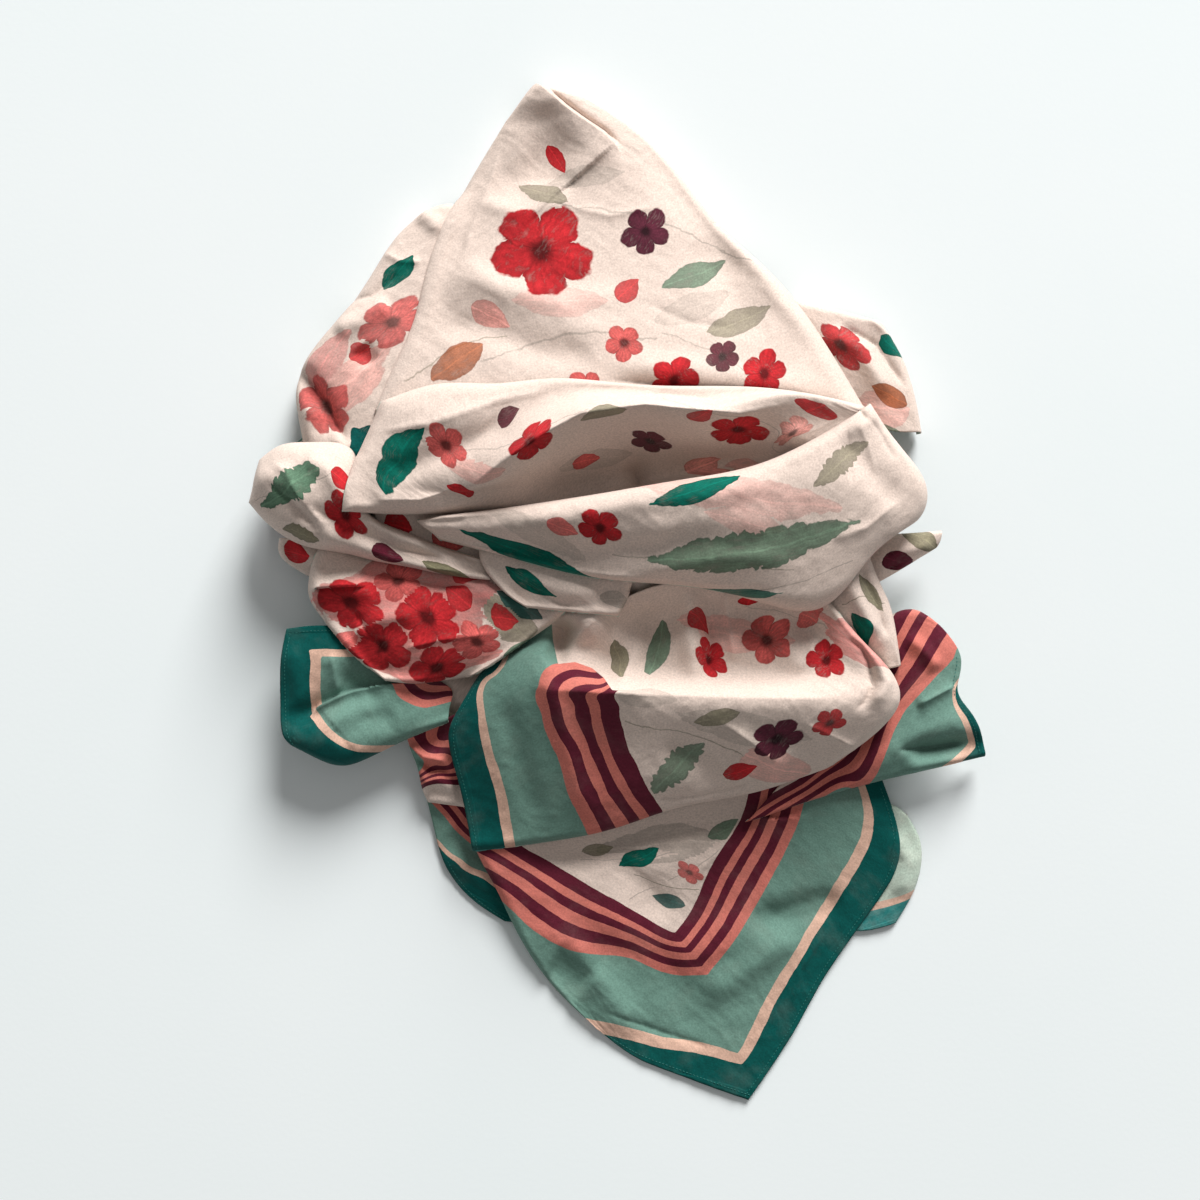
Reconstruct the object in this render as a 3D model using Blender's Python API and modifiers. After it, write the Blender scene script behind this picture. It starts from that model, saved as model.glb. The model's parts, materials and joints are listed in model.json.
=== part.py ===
"""A printed sarong dropped in a heap on a flat surface.

The hidden layers under the heap are one rounded solid with a layered edge.  Each stretch of cloth that
shows is a wall of its own, lofted through a small net of sections and laid on what is under it.

The nets hold millimetres.  Their x and y say where a point is seen on the surface by an eye straight
above the middle of the heap, and z is its real height, so `placed` moves each point in towards the
middle as it gets nearer to the eye.  Everything else is in metres.
"""
import bpy
import numpy as np
from mathutils import Vector
from mathutils.bvhtree import BVHTree

MM = 0.001
CLOTH = 1.2 * MM                 # thickness of each wall
GAP = 0.3 * MM                   # clearance between a wall and what it lies on
EYE_HEIGHT = 1150 * MM           # height from which the nets' x and y are sighted
ORIGIN = (11.94 * MM, 3.42 * MM)   # middle of the heap's box, in the nets' frame
CELL = 2 * MM                    # pitch of the map of heights that the walls are laid on
MAP_HALF = 380 * MM              # the map reaches this far each way from the middle
EDGE_STOPS = (0.0, 0.3)     # places of the rows that round a folded edge, as shares of its radius
FACET_STEPS = 7                  # each facet is tested at this many steps along its sides

# Each net has a row for each section; its columns run across the stretch.  `edges` gives the four sides,
# first row, last row, first column and last column: (radius, drop) of a folded edge in millimetres, or
# None for a hem or for a side that ends under another stretch.  `cells` is how many cells the wall has
# along its rows and across them.  `colour` is the stretch's main colour, linear RGB.
CREAM = (0.76, 0.62, 0.54)
SAGE = (0.17, 0.34, 0.28)
TEAL = (0.01, 0.09, 0.08)
MINT = (0.60, 0.72, 0.65)
RED = (0.55, 0.05, 0.06)

LEFT_UNDER = dict(
    colour=TEAL, cells=(4, 7), edges=(None, None, None, None),
    #     hem             middle            under the corner
    net=[[(-116, -125, 4), (-96, -129, 7), (-66, -132, 9)],
         [(-110, -149, 4), (-92, -152, 7), (-63, -157, 10)],
         [(-102, -175, 3), (-82, -177, 6), (-56, -180, 9)],
         [(-85, -197, 2.5), (-69, -198, 5), (-46, -198, 7)],
         [(-63, -212, 2.5), (-51, -213, 4), (-36, -211, 5)]])

TURNED_CORNER = dict(
    colour=MINT, cells=(4, 7), edges=((4, 3), None, None, (4, 3)),
    #     under the corner   middle          folded edge
    net=[[(182, -132, 5), (195, -136, 6), (203, -142, 6)],
         [(175, -158, 4), (195, -158, 6), (212, -160, 6)],
         [(165, -188, 3), (188, -188, 5), (209, -189, 5)],
         [(155, -218, 2.5), (178, -218, 3), (196, -213, 3)]])

FRONT_CORNER = dict(
    colour=SAGE, cells=(11, 11), edges=(None, None, (6, 8), None),
    #     folded edge       inner left        middle           inner right       hem
    net=[[(-88, -140, 16), (-20, -138, 18), (50, -125, 18), (115, -112, 18), (186, -118, 10)],
         [(-82, -167, 18), (-15, -164, 14), (50, -160, 13), (120, -160, 11), (197, -168, 5)],
         [(-71, -188, 16), (0, -188, 10), (60, -188, 9), (120, -192, 7), (180, -203, 4)],
         [(-56, -219, 12), (5, -222, 7), (60, -224, 6), (110, -232, 5), (150, -246, 3)],
         [(-33, -254, 7), (14, -262, 4), (55, -268, 4), (90, -274, 4), (128, -285, 3)],
         [(-5, -280, 3), (22, -301, 2.5), (48, -312, 2.5), (72, -321, 3), (98, -330, 2.5)]])

LEFT_RUFFLE = dict(
    colour=CREAM, cells=(5, 9), edges=(None, (4, 5), (4, 6), None),
    #     folded edge       middle            under the cup
    net=[[(-128, -91, 20), (-109, -82, 24), (-82, -69, 24)],
         [(-126, -98, 16), (-107, -94, 18), (-80, -89, 20)],
         [(-121, -112, 18), (-104, -109, 22), (-79, -106, 22)],
         [(-118, -125, 12), (-102, -122, 14), (-77, -122, 16)],
         [(-114, -134, 12), (-99, -136, 15), (-75, -139, 14)]])

RIGHT_LOBE = dict(
    colour=SAGE, cells=(8, 12), edges=((4, 6), (5, 8), None, None),
    #     under the cup    inner left        inner right       outer edge
    net=[[(177, -26, 22), (195, -9, 26), (211, -7, 28), (223, -15, 26)],
         [(178, -43, 22), (201, -33, 28), (221, -30, 30), (238, -37, 26)],
         [(165, -69, 22), (195, -59, 28), (218, -54, 30), (236, -58, 26)],
         [(142, -96, 20), (178, -86, 26), (215, -76, 30), (244, -73, 26)],
         [(116, -125, 18), (165, -107, 24), (211, -94, 28), (252, -88, 24)],
         [(96, -147, 14), (152, -129, 18), (208, -115, 22), (255, -104, 20)]])

LEFT_CORNER = dict(
    colour=SAGE, cells=(9, 9), edges=(None, (6, 9), None, None),
    #     hem                inner left         middle             inner right       under the panel
    net=[[(-207, -19, 30), (-191, -17, 32), (-172, -18, 32), (-142, -30, 30), (-112, -40, 28)],
         [(-211, -45, 32), (-186, -45, 35), (-165, -46, 34), (-135, -50, 30), (-106, -53, 26)],
         [(-211, -70, 30), (-188, -69, 31), (-165, -59, 30), (-132, -58, 27), (-98, -59, 24)],
         [(-209, -90, 32), (-183, -91, 37), (-160, -84, 36), (-132, -78, 32), (-99, -70, 26)],
         [(-201, -98, 28), (-175, -110, 30), (-156, -106, 30), (-129, -93, 28), (-100, -81, 24)]])

BACK_RIGHT = dict(
    colour=RED, cells=(5, 7), edges=((5, 10), None, None, (6, 12)),
    #     under the peak   middle           folded edge
    net=[[(129, 199, 16), (165, 191, 20), (187, 184, 18)],
         [(142, 172, 20), (172, 165, 24), (197, 168, 20)],
         [(158, 145, 22), (185, 142, 26), (207, 145, 20)],
         [(178, 115, 22), (197, 111, 24), (214, 111, 18)]])

RIGHT_WING = dict(
    colour=CREAM, cells=(5, 4), edges=((4, 5), (4, 5), None, None),
    #     under the roll  middle          outer edge
    net=[[(164, 44, 36), (198, 44, 33), (226, 46, 28)],
         [(168, 28, 36), (201, 34, 33), (225, 40, 28)],
         [(178, 8, 32), (201, 21, 30), (222, 34, 26)]])

RIGHT_INNER = dict(
    colour=CREAM, cells=(4, 8), edges=(None, None, None, (6, 12)),
    #     under the cup   middle          folded edge
    net=[[(145, 16, 46), (162, 23, 50), (177, 35, 46)],
         [(150, 0, 46), (168, 7, 50), (185, 14, 42)],
         [(162, -16, 44), (178, -10, 48), (193, -3, 38)],
         [(174, -30, 40), (186, -26, 44), (197, -24, 36)],
         [(184, -45, 36), (192, -45, 38), (199, -43, 33)]])

RECESS = dict(
    colour=RED, cells=(6, 4), edges=(None, None, None, None),
    #     left             middle           right
    net=[[(-150, 66, 42), (-115, 62, 42), (-80, 54, 40)],
         [(-148, 52, 36), (-112, 46, 36), (-78, 38, 34)],
         [(-146, 42, 34), (-112, 34, 34), (-78, 26, 34)]])

FRONT_CUP = dict(
    colour=CREAM, cells=(15, 12), edges=(None, (5, 9), None, (11, 18)),
    #     hem              sage band         stripes           left              middle            right
    #     folded edge
    net=[[(-33, -10, 34), (-25, -7, 40), (-7, -8, 52), (30, 7, 56), (86, 13, 56), (125, 5, 56),
          (152, 0, 56)],
         [(-53, -30, 36), (-36, -26, 42), (-18, -25, 54), (26, -20, 50), (92, -20, 48), (139, -21, 54),
          (176, -28, 57)],
         [(-76, -45, 35), (-53, -38, 45), (-25, -42, 54), (26, -45, 50), (92, -48, 48), (145, -48, 52),
          (195, -48, 57)],
         [(-90, -66, 34), (-59, -59, 47), (-26, -58, 58), (26, -61, 63), (92, -65, 64), (146, -65, 63),
          (201, -65, 56)],
         [(-100, -89, 30), (-63, -89, 42), (-26, -89, 48), (26, -91, 52), (86, -91, 54), (135, -89, 54),
          (190, -84, 50)],
         [(-93, -122, 24), (-58, -125, 32), (-20, -125, 36), (26, -120, 40), (76, -114, 42),
          (122, -107, 42), (173, -98, 42)],
         [(-84, -166, 18), (-46, -162, 20), (-7, -156, 22), (30, -145, 24), (66, -135, 26),
          (106, -127, 28), (154, -110, 30)]])

TUCKED_EDGE = dict(
    colour=RED, cells=(4, 4), edges=(None, (4, 6), (4, 6), None),
    #     folded edge      middle           under the pouch
    net=[[(-213, 41, 26), (-192, 41, 32), (-172, 40, 34)],
         [(-212, 29, 24), (-190, 27, 30), (-170, 26, 34)],
         [(-194, 16, 24), (-182, 15, 30), (-168, 14, 34)]])

LEFT_PANEL = dict(
    colour=RED, cells=(9, 7), edges=(None, (5, 8), (6, 10), (5, 10)),
    #     folded edge       inner left        inner right       folded edge
    net=[[(-184, 36, 26), (-140, 36, 30), (-85, 28, 36), (-14, 12, 44)],
         [(-194, 5, 34), (-150, 7, 42), (-88, 0, 44), (-24, -9, 46)],
         [(-180, -17, 34), (-138, -20, 44), (-90, -24, 46), (-45, -25, 44)],
         [(-159, -40, 32), (-132, -41, 40), (-100, -41, 42), (-68, -41, 38)],
         [(-141, -53, 29), (-125, -55, 32), (-106, -54, 34), (-86, -51, 33)]])

BACK_LEFT = dict(
    colour=CREAM, cells=(5, 11), edges=((6, 8), None, (9, 16), None),
    #     folded edge       middle            under the peak
    net=[[(-112, 259, 14), (-99, 263, 16), (-76, 254, 16)],
         [(-131, 247, 18), (-112, 243, 22), (-85, 236, 22)],
         [(-159, 207, 24), (-134, 205, 30), (-100, 202, 30)],
         [(-189, 171, 28), (-158, 166, 36), (-118, 164, 36)],
         [(-203, 143, 30), (-170, 136, 38), (-130, 132, 42)],
         [(-201, 119, 32), (-172, 112, 38), (-138, 108, 44)],
         [(-196, 94, 30), (-170, 88, 38), (-140, 80, 44)]])

LEFT_POUCH = dict(
    colour=CREAM, cells=(15, 5), edges=((6, 8), (8, 14), (9, 14), None),
    #     folded edge      bulge                                               tail under the roll
    net=[[(-227, 92, 36), (-212, 103, 46), (-190, 105, 50), (-163, 97, 50), (-158, 64, 46),
          (-131, 46, 44), (-106, 36, 42), (-72, 26, 38)],
         [(-231, 76, 40), (-215, 80, 56), (-190, 76, 62), (-166, 62, 60), (-150, 50, 56),
          (-128, 38, 52), (-104, 29, 48), (-72, 21, 42)],
         [(-234, 65, 36), (-222, 51, 44), (-200, 37, 46), (-170, 31, 46), (-150, 26, 46),
          (-128, 22, 44), (-104, 17, 42), (-72, 13, 38)]])

UNDER_PETAL = dict(
    colour=CREAM, cells=(8, 6), edges=(None, (5, 9), (5, 7), (4, 7)),
    #     folded edge     inner left       inner right     folded edge
    net=[[(-80, 38, 48), (-45, 30, 54), (-10, 20, 56), (22, 14, 56)],
         [(-79, 26, 46), (-50, 18, 52), (-15, 10, 54), (20, 6, 54)],
         [(-64, 6, 44), (-44, 2, 50), (-14, 0, 52), (17, -2, 52)],
         [(-48, -5, 42), (-31, -7, 46), (-8, -9, 48), (12, -11, 48)]])

PEAK = dict(
    colour=CREAM, cells=(13, 14), edges=((6, 10), None, (9, 14), (9, 14)),
    #     folded edge       inner left        middle            inner right       folded edge
    net=[[(-62, 316, 14), (-52, 331, 18), (-43, 341, 19), (-32, 340, 18), (-12, 333, 14)],
         [(-76, 296, 14), (-54, 306, 21), (-33, 314, 24), (-12, 318, 22), (14, 319, 15)],
         [(-96, 262, 18), (-60, 268, 26), (-22, 276, 28), (17, 283, 27), (51, 286, 20)],
         [(-112, 225, 26), (-70, 228, 36), (-20, 232, 38), (35, 240, 34), (80, 249, 26)],
         [(-123, 184, 34), (-75, 182, 46), (-10, 184, 50), (60, 196, 44), (119, 213, 32)],
         [(-135, 157, 40), (-80, 150, 54), (-5, 150, 59), (75, 157, 54), (150, 172, 40)],
         [(-149, 125, 44), (-85, 118, 57), (0, 120, 60), (90, 122, 58), (180, 122, 46)]])

UPPER_SWAG = dict(
    colour=CREAM, cells=(20, 9), edges=((5, 8), (6, 10), (10, 16), (4, 8)),
    #     folded edge       left                                middle
    #     right
    net=[[(-145, 131, 50), (-112, 143, 60), (-71, 144, 64), (-25, 147, 64), (22, 143, 64),
          (75, 142, 64), (125, 139, 62), (176, 128, 58)],
         [(-154, 114, 56), (-120, 118, 66), (-78, 118, 70), (-32, 130, 69), (12, 136, 68),
          (70, 132, 68), (123, 137, 67), (176, 127, 62)],
         [(-162, 96, 60), (-128, 90, 68), (-84, 80, 71), (-40, 107, 79), (4, 127, 80),
          (66, 123, 79), (121, 134, 76), (175, 125, 66)],
         [(-166, 80, 60), (-132, 74, 66), (-82, 72, 62), (-20, 92, 60), (20, 105, 58),
          (75, 105, 60), (125, 115, 66), (173, 121, 66)],
         [(-168, 68, 54), (-133, 66, 60), (-82, 66, 57), (-15, 72, 46), (25, 78, 43),
          (80, 88, 48), (128, 100, 62), (171, 116, 66)],
         [(-169, 58, 48), (-132, 57, 52), (-80, 58, 50), (-12, 60, 44), (28, 66, 44),
          (84, 76, 50), (132, 88, 60), (169, 110, 64)]])

FRONT_ROLL = dict(
    colour=CREAM, cells=(20, 8), edges=((6, 12), (7, 12), (5, 6), (10, 18)),
    #     left tip          left                                 middle
    #     right             folded edge
    net=[[(-126, 61, 54), (-66, 64, 68), (0, 71, 78), (59, 81, 82), (112, 92, 82), (153, 110, 76),
          (175, 125, 62)],
         [(-121, 56, 56), (-59, 53, 71), (3, 57, 83), (64, 65, 87), (120, 75, 86), (165, 91, 79),
          (198, 106, 62)],
         [(-117, 52, 55), (-54, 41, 67), (8, 38, 78), (69, 41, 82), (129, 51, 80), (175, 66, 74),
          (218, 77, 56)],
         [(-113, 47, 52), (-54, 34, 61), (7, 24, 69), (71, 20, 72), (128, 21, 70), (166, 36, 68),
          (212, 53, 54)],
         [(-109, 42, 49), (-56, 27, 55), (1, 14, 60), (66, 8, 62), (116, -4, 60), (152, -3, 58),
          (188, 46, 54)]])

# Bottom to top: each stretch is laid on those before it.
STRETCHES = dict(
    left_under=LEFT_UNDER, turned_corner=TURNED_CORNER, front_corner=FRONT_CORNER,
    left_ruffle=LEFT_RUFFLE, right_lobe=RIGHT_LOBE, left_corner=LEFT_CORNER, back_right=BACK_RIGHT,
    right_wing=RIGHT_WING, right_inner=RIGHT_INNER, recess=RECESS, front_cup=FRONT_CUP,
    tucked_edge=TUCKED_EDGE, left_panel=LEFT_PANEL, back_left=BACK_LEFT, left_pouch=LEFT_POUCH,
    under_petal=UNDER_PETAL, peak=PEAK, upper_swag=UPPER_SWAG, front_roll=FRONT_ROLL)

# Folds raised or sunk in the walls: where each starts and ends (x, y as in the nets), half its width and
# its height at the middle, in millimetres.  A negative height is a trough.
FOLDS = dict(
    front_corner=[((105, -210), (160, -198), 10, -3), ((-40, -200), (20, -290), 12, 3),
                  ((20, -180), (70, -300), 12, -2)],
    right_lobe=[((255, -92), (198, -97), 7, -5), ((150, -118), (245, -70), 9, 3)],
    left_corner=[((-205, -78), (-135, -56), 7, -6)],
    front_cup=[((60, 8), (55, -52), 8, 6), ((82, 8), (88, -26), 7, 5), ((-22, -14), (-28, -38), 6, -14),
               ((82, -82), (120, -108), 8, 4)],
    back_left=[((-198, 154), (-166, 102), 7, -7), ((-120, 256), (-104, 240), 6, 4)],
    peak=[((-60, 262), (-20, 300), 14, -5), ((-110, 215), (20, 160), 14, 4),
          ((60, 230), (100, 170), 14, -4)],
    upper_swag=[((22, 92), (26, 76), 7, -6), ((-140, 120), (-60, 110), 12, 3)],
    front_roll=[((150, 100), (186, 60), 9, -4), ((20, 40), (110, 50), 12, 3)],
    left_pouch=[((-225, 84), (-180, 60), 9, 4)],
    left_panel=[((-188, 6), (-140, 6), 6, 4)])

# The hidden layers, millimetres on the surface, anticlockwise from the point under the peak.
CORE_OUTLINE = [(-40, 306), (-70, 282), (-86, 250), (-116, 236), (-146, 202), (-174, 166), (-188, 138),
                (-192, 112), (-212, 92), (-214, 64), (-200, 38), (-180, 8), (-158, -20), (-128, -46),
                (-106, -78), (-96, -112), (-80, -148), (-44, -156), (0, -148), (60, -134), (118, -118),
                (162, -92), (182, -60), (180, -16), (184, 24), (194, 68), (188, 110), (172, 148),
                (148, 172), (112, 190), (70, 226), (30, 266), (-4, 294)]
CORE_MIDDLE = (-10, 60)
CORE_POINTS = 46                                     # points round each ring
CORE_RINGS = (0.985, 0.94, 0.86, 0.74, 0.58, 0.4, 0.2)   # rings of its top, as shares of the outline
CORE_LAYERS = 3                                      # folded layers at its edge
LAYER_PROFILE = ((0.05, 4.0), (0.25, 1.2), (0.5, 0.0), (0.75, 1.2), (0.95, 4.0))   # (height share, inset mm)
LAYER_WOBBLE = 2.5 * MM                              # how far the layers' edges wander in and out
CORE_SLACK = 1.0 * MM                                # how far the core's top stays below the walls
CORE_LOWEST = 6 * MM                                 # least height of the core's top


def natural_spline(knots, values, at):
    """The values at new places of a smooth curve through `values` at `knots`."""
    count = len(knots)
    step = np.diff(knots)
    matrix = np.eye(count)
    right = np.zeros(values.shape)
    slope = np.diff(values, axis=0) / step.reshape((-1,) + (1,) * (values.ndim - 1))
    for i in range(1, count - 1):
        matrix[i, i - 1:i + 2] = step[i - 1], 2 * (step[i - 1] + step[i]), step[i]
        right[i] = 6 * (slope[i] - slope[i - 1])
    bend = np.linalg.solve(matrix, right.reshape(count, -1)).reshape(values.shape)
    k = np.clip(np.searchsorted(knots, at, side="right") - 1, 0, count - 2)
    shape = (-1,) + (1,) * (values.ndim - 1)
    h = step[k].reshape(shape)
    b = (at - knots[k]).reshape(shape) / h
    a = 1 - b
    curve = (a ** 3 - a) * bend[k] + (b ** 3 - b) * bend[k + 1]
    return a * values[k] + b * values[k + 1] + curve * h ** 2 / 6


def placed(net):
    """Net points in metres, moved in towards the middle as they get nearer to the eye."""
    points = np.array(net, float) * MM
    points[..., :2] *= 1 - points[..., 2:] / EYE_HEIGHT
    return points


def knots_of(points):
    """Mean distances along the first axis of a net."""
    steps = np.linalg.norm(np.diff(points, axis=0), axis=-1).mean(axis=1)
    return np.concatenate([[0], np.cumsum(steps)])


def stops(length, cells, first, last):
    """Places along a length: close together over a folded edge at either end, even in between."""
    inner_start = first[0] * MM if first else 0.0
    inner_end = length - (last[0] * MM if last else 0.0)
    lead = [share * first[0] * MM for share in EDGE_STOPS] if first else []
    tail = [length - share * last[0] * MM for share in reversed(EDGE_STOPS)] if last else []
    even = np.linspace(inner_start, inner_end, cells + 1)
    return np.concatenate([lead, even, tail])


def edge_share(places, length, first, last):
    """How high each place stands on its folded edges: 0 at the edge itself, 1 past the fold."""
    share = np.ones(len(places))
    for edge, distance in ((first, places), (last, length - places)):
        if edge:
            reach = np.clip(distance / (edge[0] * MM), 0, 1)
            share *= np.sqrt(1 - (1 - reach) ** 2)
    return share


def fold_height(points, fold):
    """Height that a ridge or trough adds at each point; it fades out towards its ends and sides."""
    (x0, y0), (x1, y1), half_width, height = fold
    start, end = np.array((x0, y0)) * MM, np.array((x1, y1)) * MM
    along = end - start
    length = np.linalg.norm(along)
    along = along / length
    offset = points[..., :2] - start
    s = offset @ along / length
    across = offset[..., 0] * along[1] - offset[..., 1] * along[0]
    beyond = np.maximum(np.abs(s - 0.5) - 0.3, 0) * length
    return height * MM * np.exp(-(across ** 2 + beyond ** 2) / (half_width * MM) ** 2)


def lofted(name, stretch):
    """The stretch's outer surface: a grid of points through its net, with its folds and folded edges."""
    net = placed(stretch["net"])
    top, bottom, left, right = stretch["edges"]
    down, across = knots_of(net), knots_of(net.swapaxes(0, 1))
    rows = stops(down[-1], stretch["cells"][1], top, bottom)
    columns = stops(across[-1], stretch["cells"][0], left, right)
    grid = natural_spline(down, net, rows)
    grid = natural_spline(across, grid.swapaxes(0, 1), columns).swapaxes(0, 1)
    for fold in FOLDS.get(name, ()):
        grid[..., 2] += fold_height(grid, fold)
    drop = np.zeros(grid.shape[:2])
    share_down = edge_share(rows, down[-1], top, bottom)[:, None]
    share_across = edge_share(columns, across[-1], left, right)[None, :]
    for edge, share in ((top, share_down), (bottom, share_down), (left, share_across), (right, share_across)):
        if edge:
            drop = np.maximum(drop, (1 - share) * edge[1] * MM)
    grid[..., 2] -= drop
    return grid


class Heights:
    """A map of how high the heap already reaches over each cell of the surface."""

    def __init__(self):
        count = int(2 * MAP_HALF / CELL)
        self.top = np.zeros((count, count))

    def cells(self, points):
        index = ((points[..., :2] + MAP_HALF) / CELL).astype(int)
        return index[..., 0], index[..., 1]

    def under(self, points):
        return self.top[self.cells(points)]

    def add(self, points):
        x, y = self.cells(points)
        layer = np.zeros(self.top.shape)
        np.maximum.at(layer, (x.ravel(), y.ravel()), points[..., 2].ravel())
        self.top = np.maximum(self.top, spread(layer, np.maximum))


def spread(layer, choose):
    """Each cell takes the highest (or lowest) of itself and its eight neighbours."""
    for axis in (0, 1):
        layer = choose(layer, choose(np.roll(layer, 1, axis), np.roll(layer, -1, axis)))
    return layer


def facets_of(obj):
    """The corners of an object's evaluated mesh, and the corner numbers of its facets."""
    graph = bpy.context.evaluated_depsgraph_get()
    mesh = obj.evaluated_get(graph).to_mesh()
    mesh.calc_loop_triangles()
    corners = np.array([v.co for v in mesh.vertices])
    facets = np.array([t.vertices for t in mesh.loop_triangles])
    obj.evaluated_get(graph).to_mesh_clear()
    return corners, facets


def facet_samples(obj):
    """Points spread over each facet of an object's evaluated mesh, and the facets' corner numbers."""
    corners, facets = facets_of(obj)
    weights = [(i, j, FACET_STEPS - i - j) for i in range(FACET_STEPS + 1) for j in range(FACET_STEPS + 1 - i)]
    weights = np.array(weights) / FACET_STEPS
    return np.einsum("wk,fkc->fwc", weights, corners[facets]), facets


def cloth_material(name, colour, roughness=0.85):
    material = bpy.data.materials.new(name)
    material.use_nodes = True
    shader = material.node_tree.nodes["Principled BSDF"]
    shader.inputs["Base Color"].default_value = (*colour, 1)
    shader.inputs["Roughness"].default_value = roughness
    shader.inputs["Metallic"].default_value = 0.0
    return material


def mesh_object(name, points, faces, colour, collection):
    mesh = bpy.data.meshes.new(name)
    mesh.from_pydata(points.tolist(), [], faces)
    mesh.update()
    mesh.shade_smooth()
    obj = bpy.data.objects.new(name, mesh)
    obj.data.materials.append(cloth_material(name, colour))
    collection.objects.link(obj)
    return obj


def grid_faces(rows, columns, closed=False):
    """Quads of a grid; a closed one joins its last column to its first."""
    last = columns if closed else columns - 1
    return [(i * columns + j, i * columns + (j + 1) % columns,
             (i + 1) * columns + (j + 1) % columns, (i + 1) * columns + j)
            for i in range(rows - 1) for j in range(last)]


def wall(name, grid, colour, collection):
    """A sheet of cloth: the grid as an open surface, thickened downwards."""
    rows, columns = grid.shape[:2]
    faces = grid_faces(rows, columns)
    a, b, c = (grid.reshape(-1, 3)[i] for i in faces[len(faces) // 2][:3])
    if np.cross(b - a, c - a)[2] < 0:
        faces = [face[::-1] for face in faces]
    obj = mesh_object(name, grid.reshape(-1, 3), faces, colour, collection)
    solid = obj.modifiers.new("cloth", "SOLIDIFY")
    solid.thickness = CLOTH
    solid.offset = -1
    return obj


def laid(obj, grid, heights, rounds=14):
    """Raise the wall smoothly wherever it would cut into what is under it."""
    count = grid.shape[0] * grid.shape[1]
    for _ in range(rounds):
        samples, facets = facet_samples(obj)
        short = (heights.under(samples) + GAP - samples[..., 2]).max(axis=1)
        lift = np.zeros(count)
        for corner in range(3):
            np.maximum.at(lift, facets[:, corner] % count, short)
        if lift.max() < 0.01 * MM:
            break
        lift = lift.reshape(grid.shape[:2])
        for _ in range(3):
            padded = np.pad(lift, 1, mode="edge")
            around = (padded[:-2, 1:-1] + padded[2:, 1:-1] + padded[1:-1, :-2] + padded[1:-1, 2:]) / 4
            lift = np.maximum(lift, around)
        grid[..., 2] += lift
        obj.data.vertices.foreach_set("co", grid.ravel())
        obj.data.update()


def settled(obj, grid, below):
    """Lower the wall until it lies a gap above the solids below it, or above the surface."""
    corners, facets = zip(*(facets_of(solid) for solid in below))
    first = np.cumsum([0] + [len(part) for part in corners[:-1]])
    numbers = np.vstack([part + start for part, start in zip(facets, first)])
    tree = BVHTree.FromPolygons(np.vstack(corners).tolist(), numbers.tolist())
    samples = facet_samples(obj)[0].reshape(-1, 3)
    room = samples[:, 2].min()
    down = Vector((0, 0, -1))
    for point in samples:
        distance = tree.ray_cast(Vector(point), down)[3]
        if distance is not None and distance < room:
            room = distance
    grid[..., 2] -= max(room - GAP, 0)
    obj.data.vertices.foreach_set("co", grid.ravel())
    obj.data.update()


def lowest_walls(grids):
    """For each cell of the surface, the height of the lowest wall over it."""
    lowest = Heights()
    lowest.top += 1.0
    for grid in grids:
        fine = grid
        for axis in (0, 1):
            count = fine.shape[axis]
            at = np.linspace(0, count - 1, 8 * count)
            k = np.minimum(at.astype(int), count - 2)
            share = (at - k).reshape((-1, 1, 1) if axis == 0 else (1, -1, 1))
            fine = np.take(fine, k, axis) * (1 - share) + np.take(fine, k + 1, axis) * share
        x, y = lowest.cells(fine)
        np.minimum.at(lowest.top, (x.ravel(), y.ravel()), fine[..., 2].ravel())
    for _ in range(2):
        lowest.top = spread(lowest.top, np.minimum)
    return lowest


def closed_curve(points, count):
    """Even places on a smooth closed curve through the points."""
    looped = np.array(list(points[-3:]) + list(points) + list(points[:3]), float) * MM
    knots = np.concatenate([[0], np.cumsum(np.linalg.norm(np.diff(looped, axis=0), axis=1))])
    return natural_spline(knots, looped, np.linspace(knots[3], knots[-3], count, endpoint=False))


def heap_core(lowest, collection):
    """The hidden layers: a rounded solid under the walls, with folded layers round its edge."""
    outline = closed_curve(CORE_OUTLINE, CORE_POINTS)
    middle = np.array(CORE_MIDDLE) * MM
    outward = outline - middle
    outward /= np.linalg.norm(outward, axis=1)[:, None]

    def top_at(plan):
        height = lowest.under(plan) - CLOTH - GAP - CORE_SLACK
        height = np.minimum(height, height.min(initial=0.09, where=height < 0.2) + 0.09)
        return np.maximum(height, CORE_LOWEST)

    rings = [top_ring(middle, outline, share, top_at) for share in CORE_RINGS]
    rim = rings[0][:, 2]
    turn = np.arange(CORE_POINTS) * 2 * np.pi / CORE_POINTS
    sides = []
    for layer in range(CORE_LAYERS):
        wander = LAYER_WOBBLE * np.sin((3 + 2 * layer) * turn + 1.7 * layer)
        for share, inset in LAYER_PROFILE:
            plan = outline + outward * (wander - inset * MM)[:, None]
            height = rim * (layer + share) / CORE_LAYERS
            if layer == 0 and share == LAYER_PROFILE[0][0]:
                height = height * 0
            sides.append(np.column_stack([plan, height]))
    levels = sides + rings
    peak_point = np.array([[*middle, top_at(middle[None])[0]]])
    points = np.vstack(levels + [peak_point])
    faces = grid_faces(len(levels), CORE_POINTS, closed=True)
    last = (len(levels) - 1) * CORE_POINTS
    faces += [(last + i, last + (i + 1) % CORE_POINTS, len(points) - 1) for i in range(CORE_POINTS)]
    faces.append(tuple(reversed(range(CORE_POINTS))))
    return mesh_object("heap_core", points, faces, CREAM, collection)


def top_ring(middle, outline, share, top_at):
    plan = middle + (outline - middle) * share
    return np.column_stack([plan, top_at(plan)])


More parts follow.
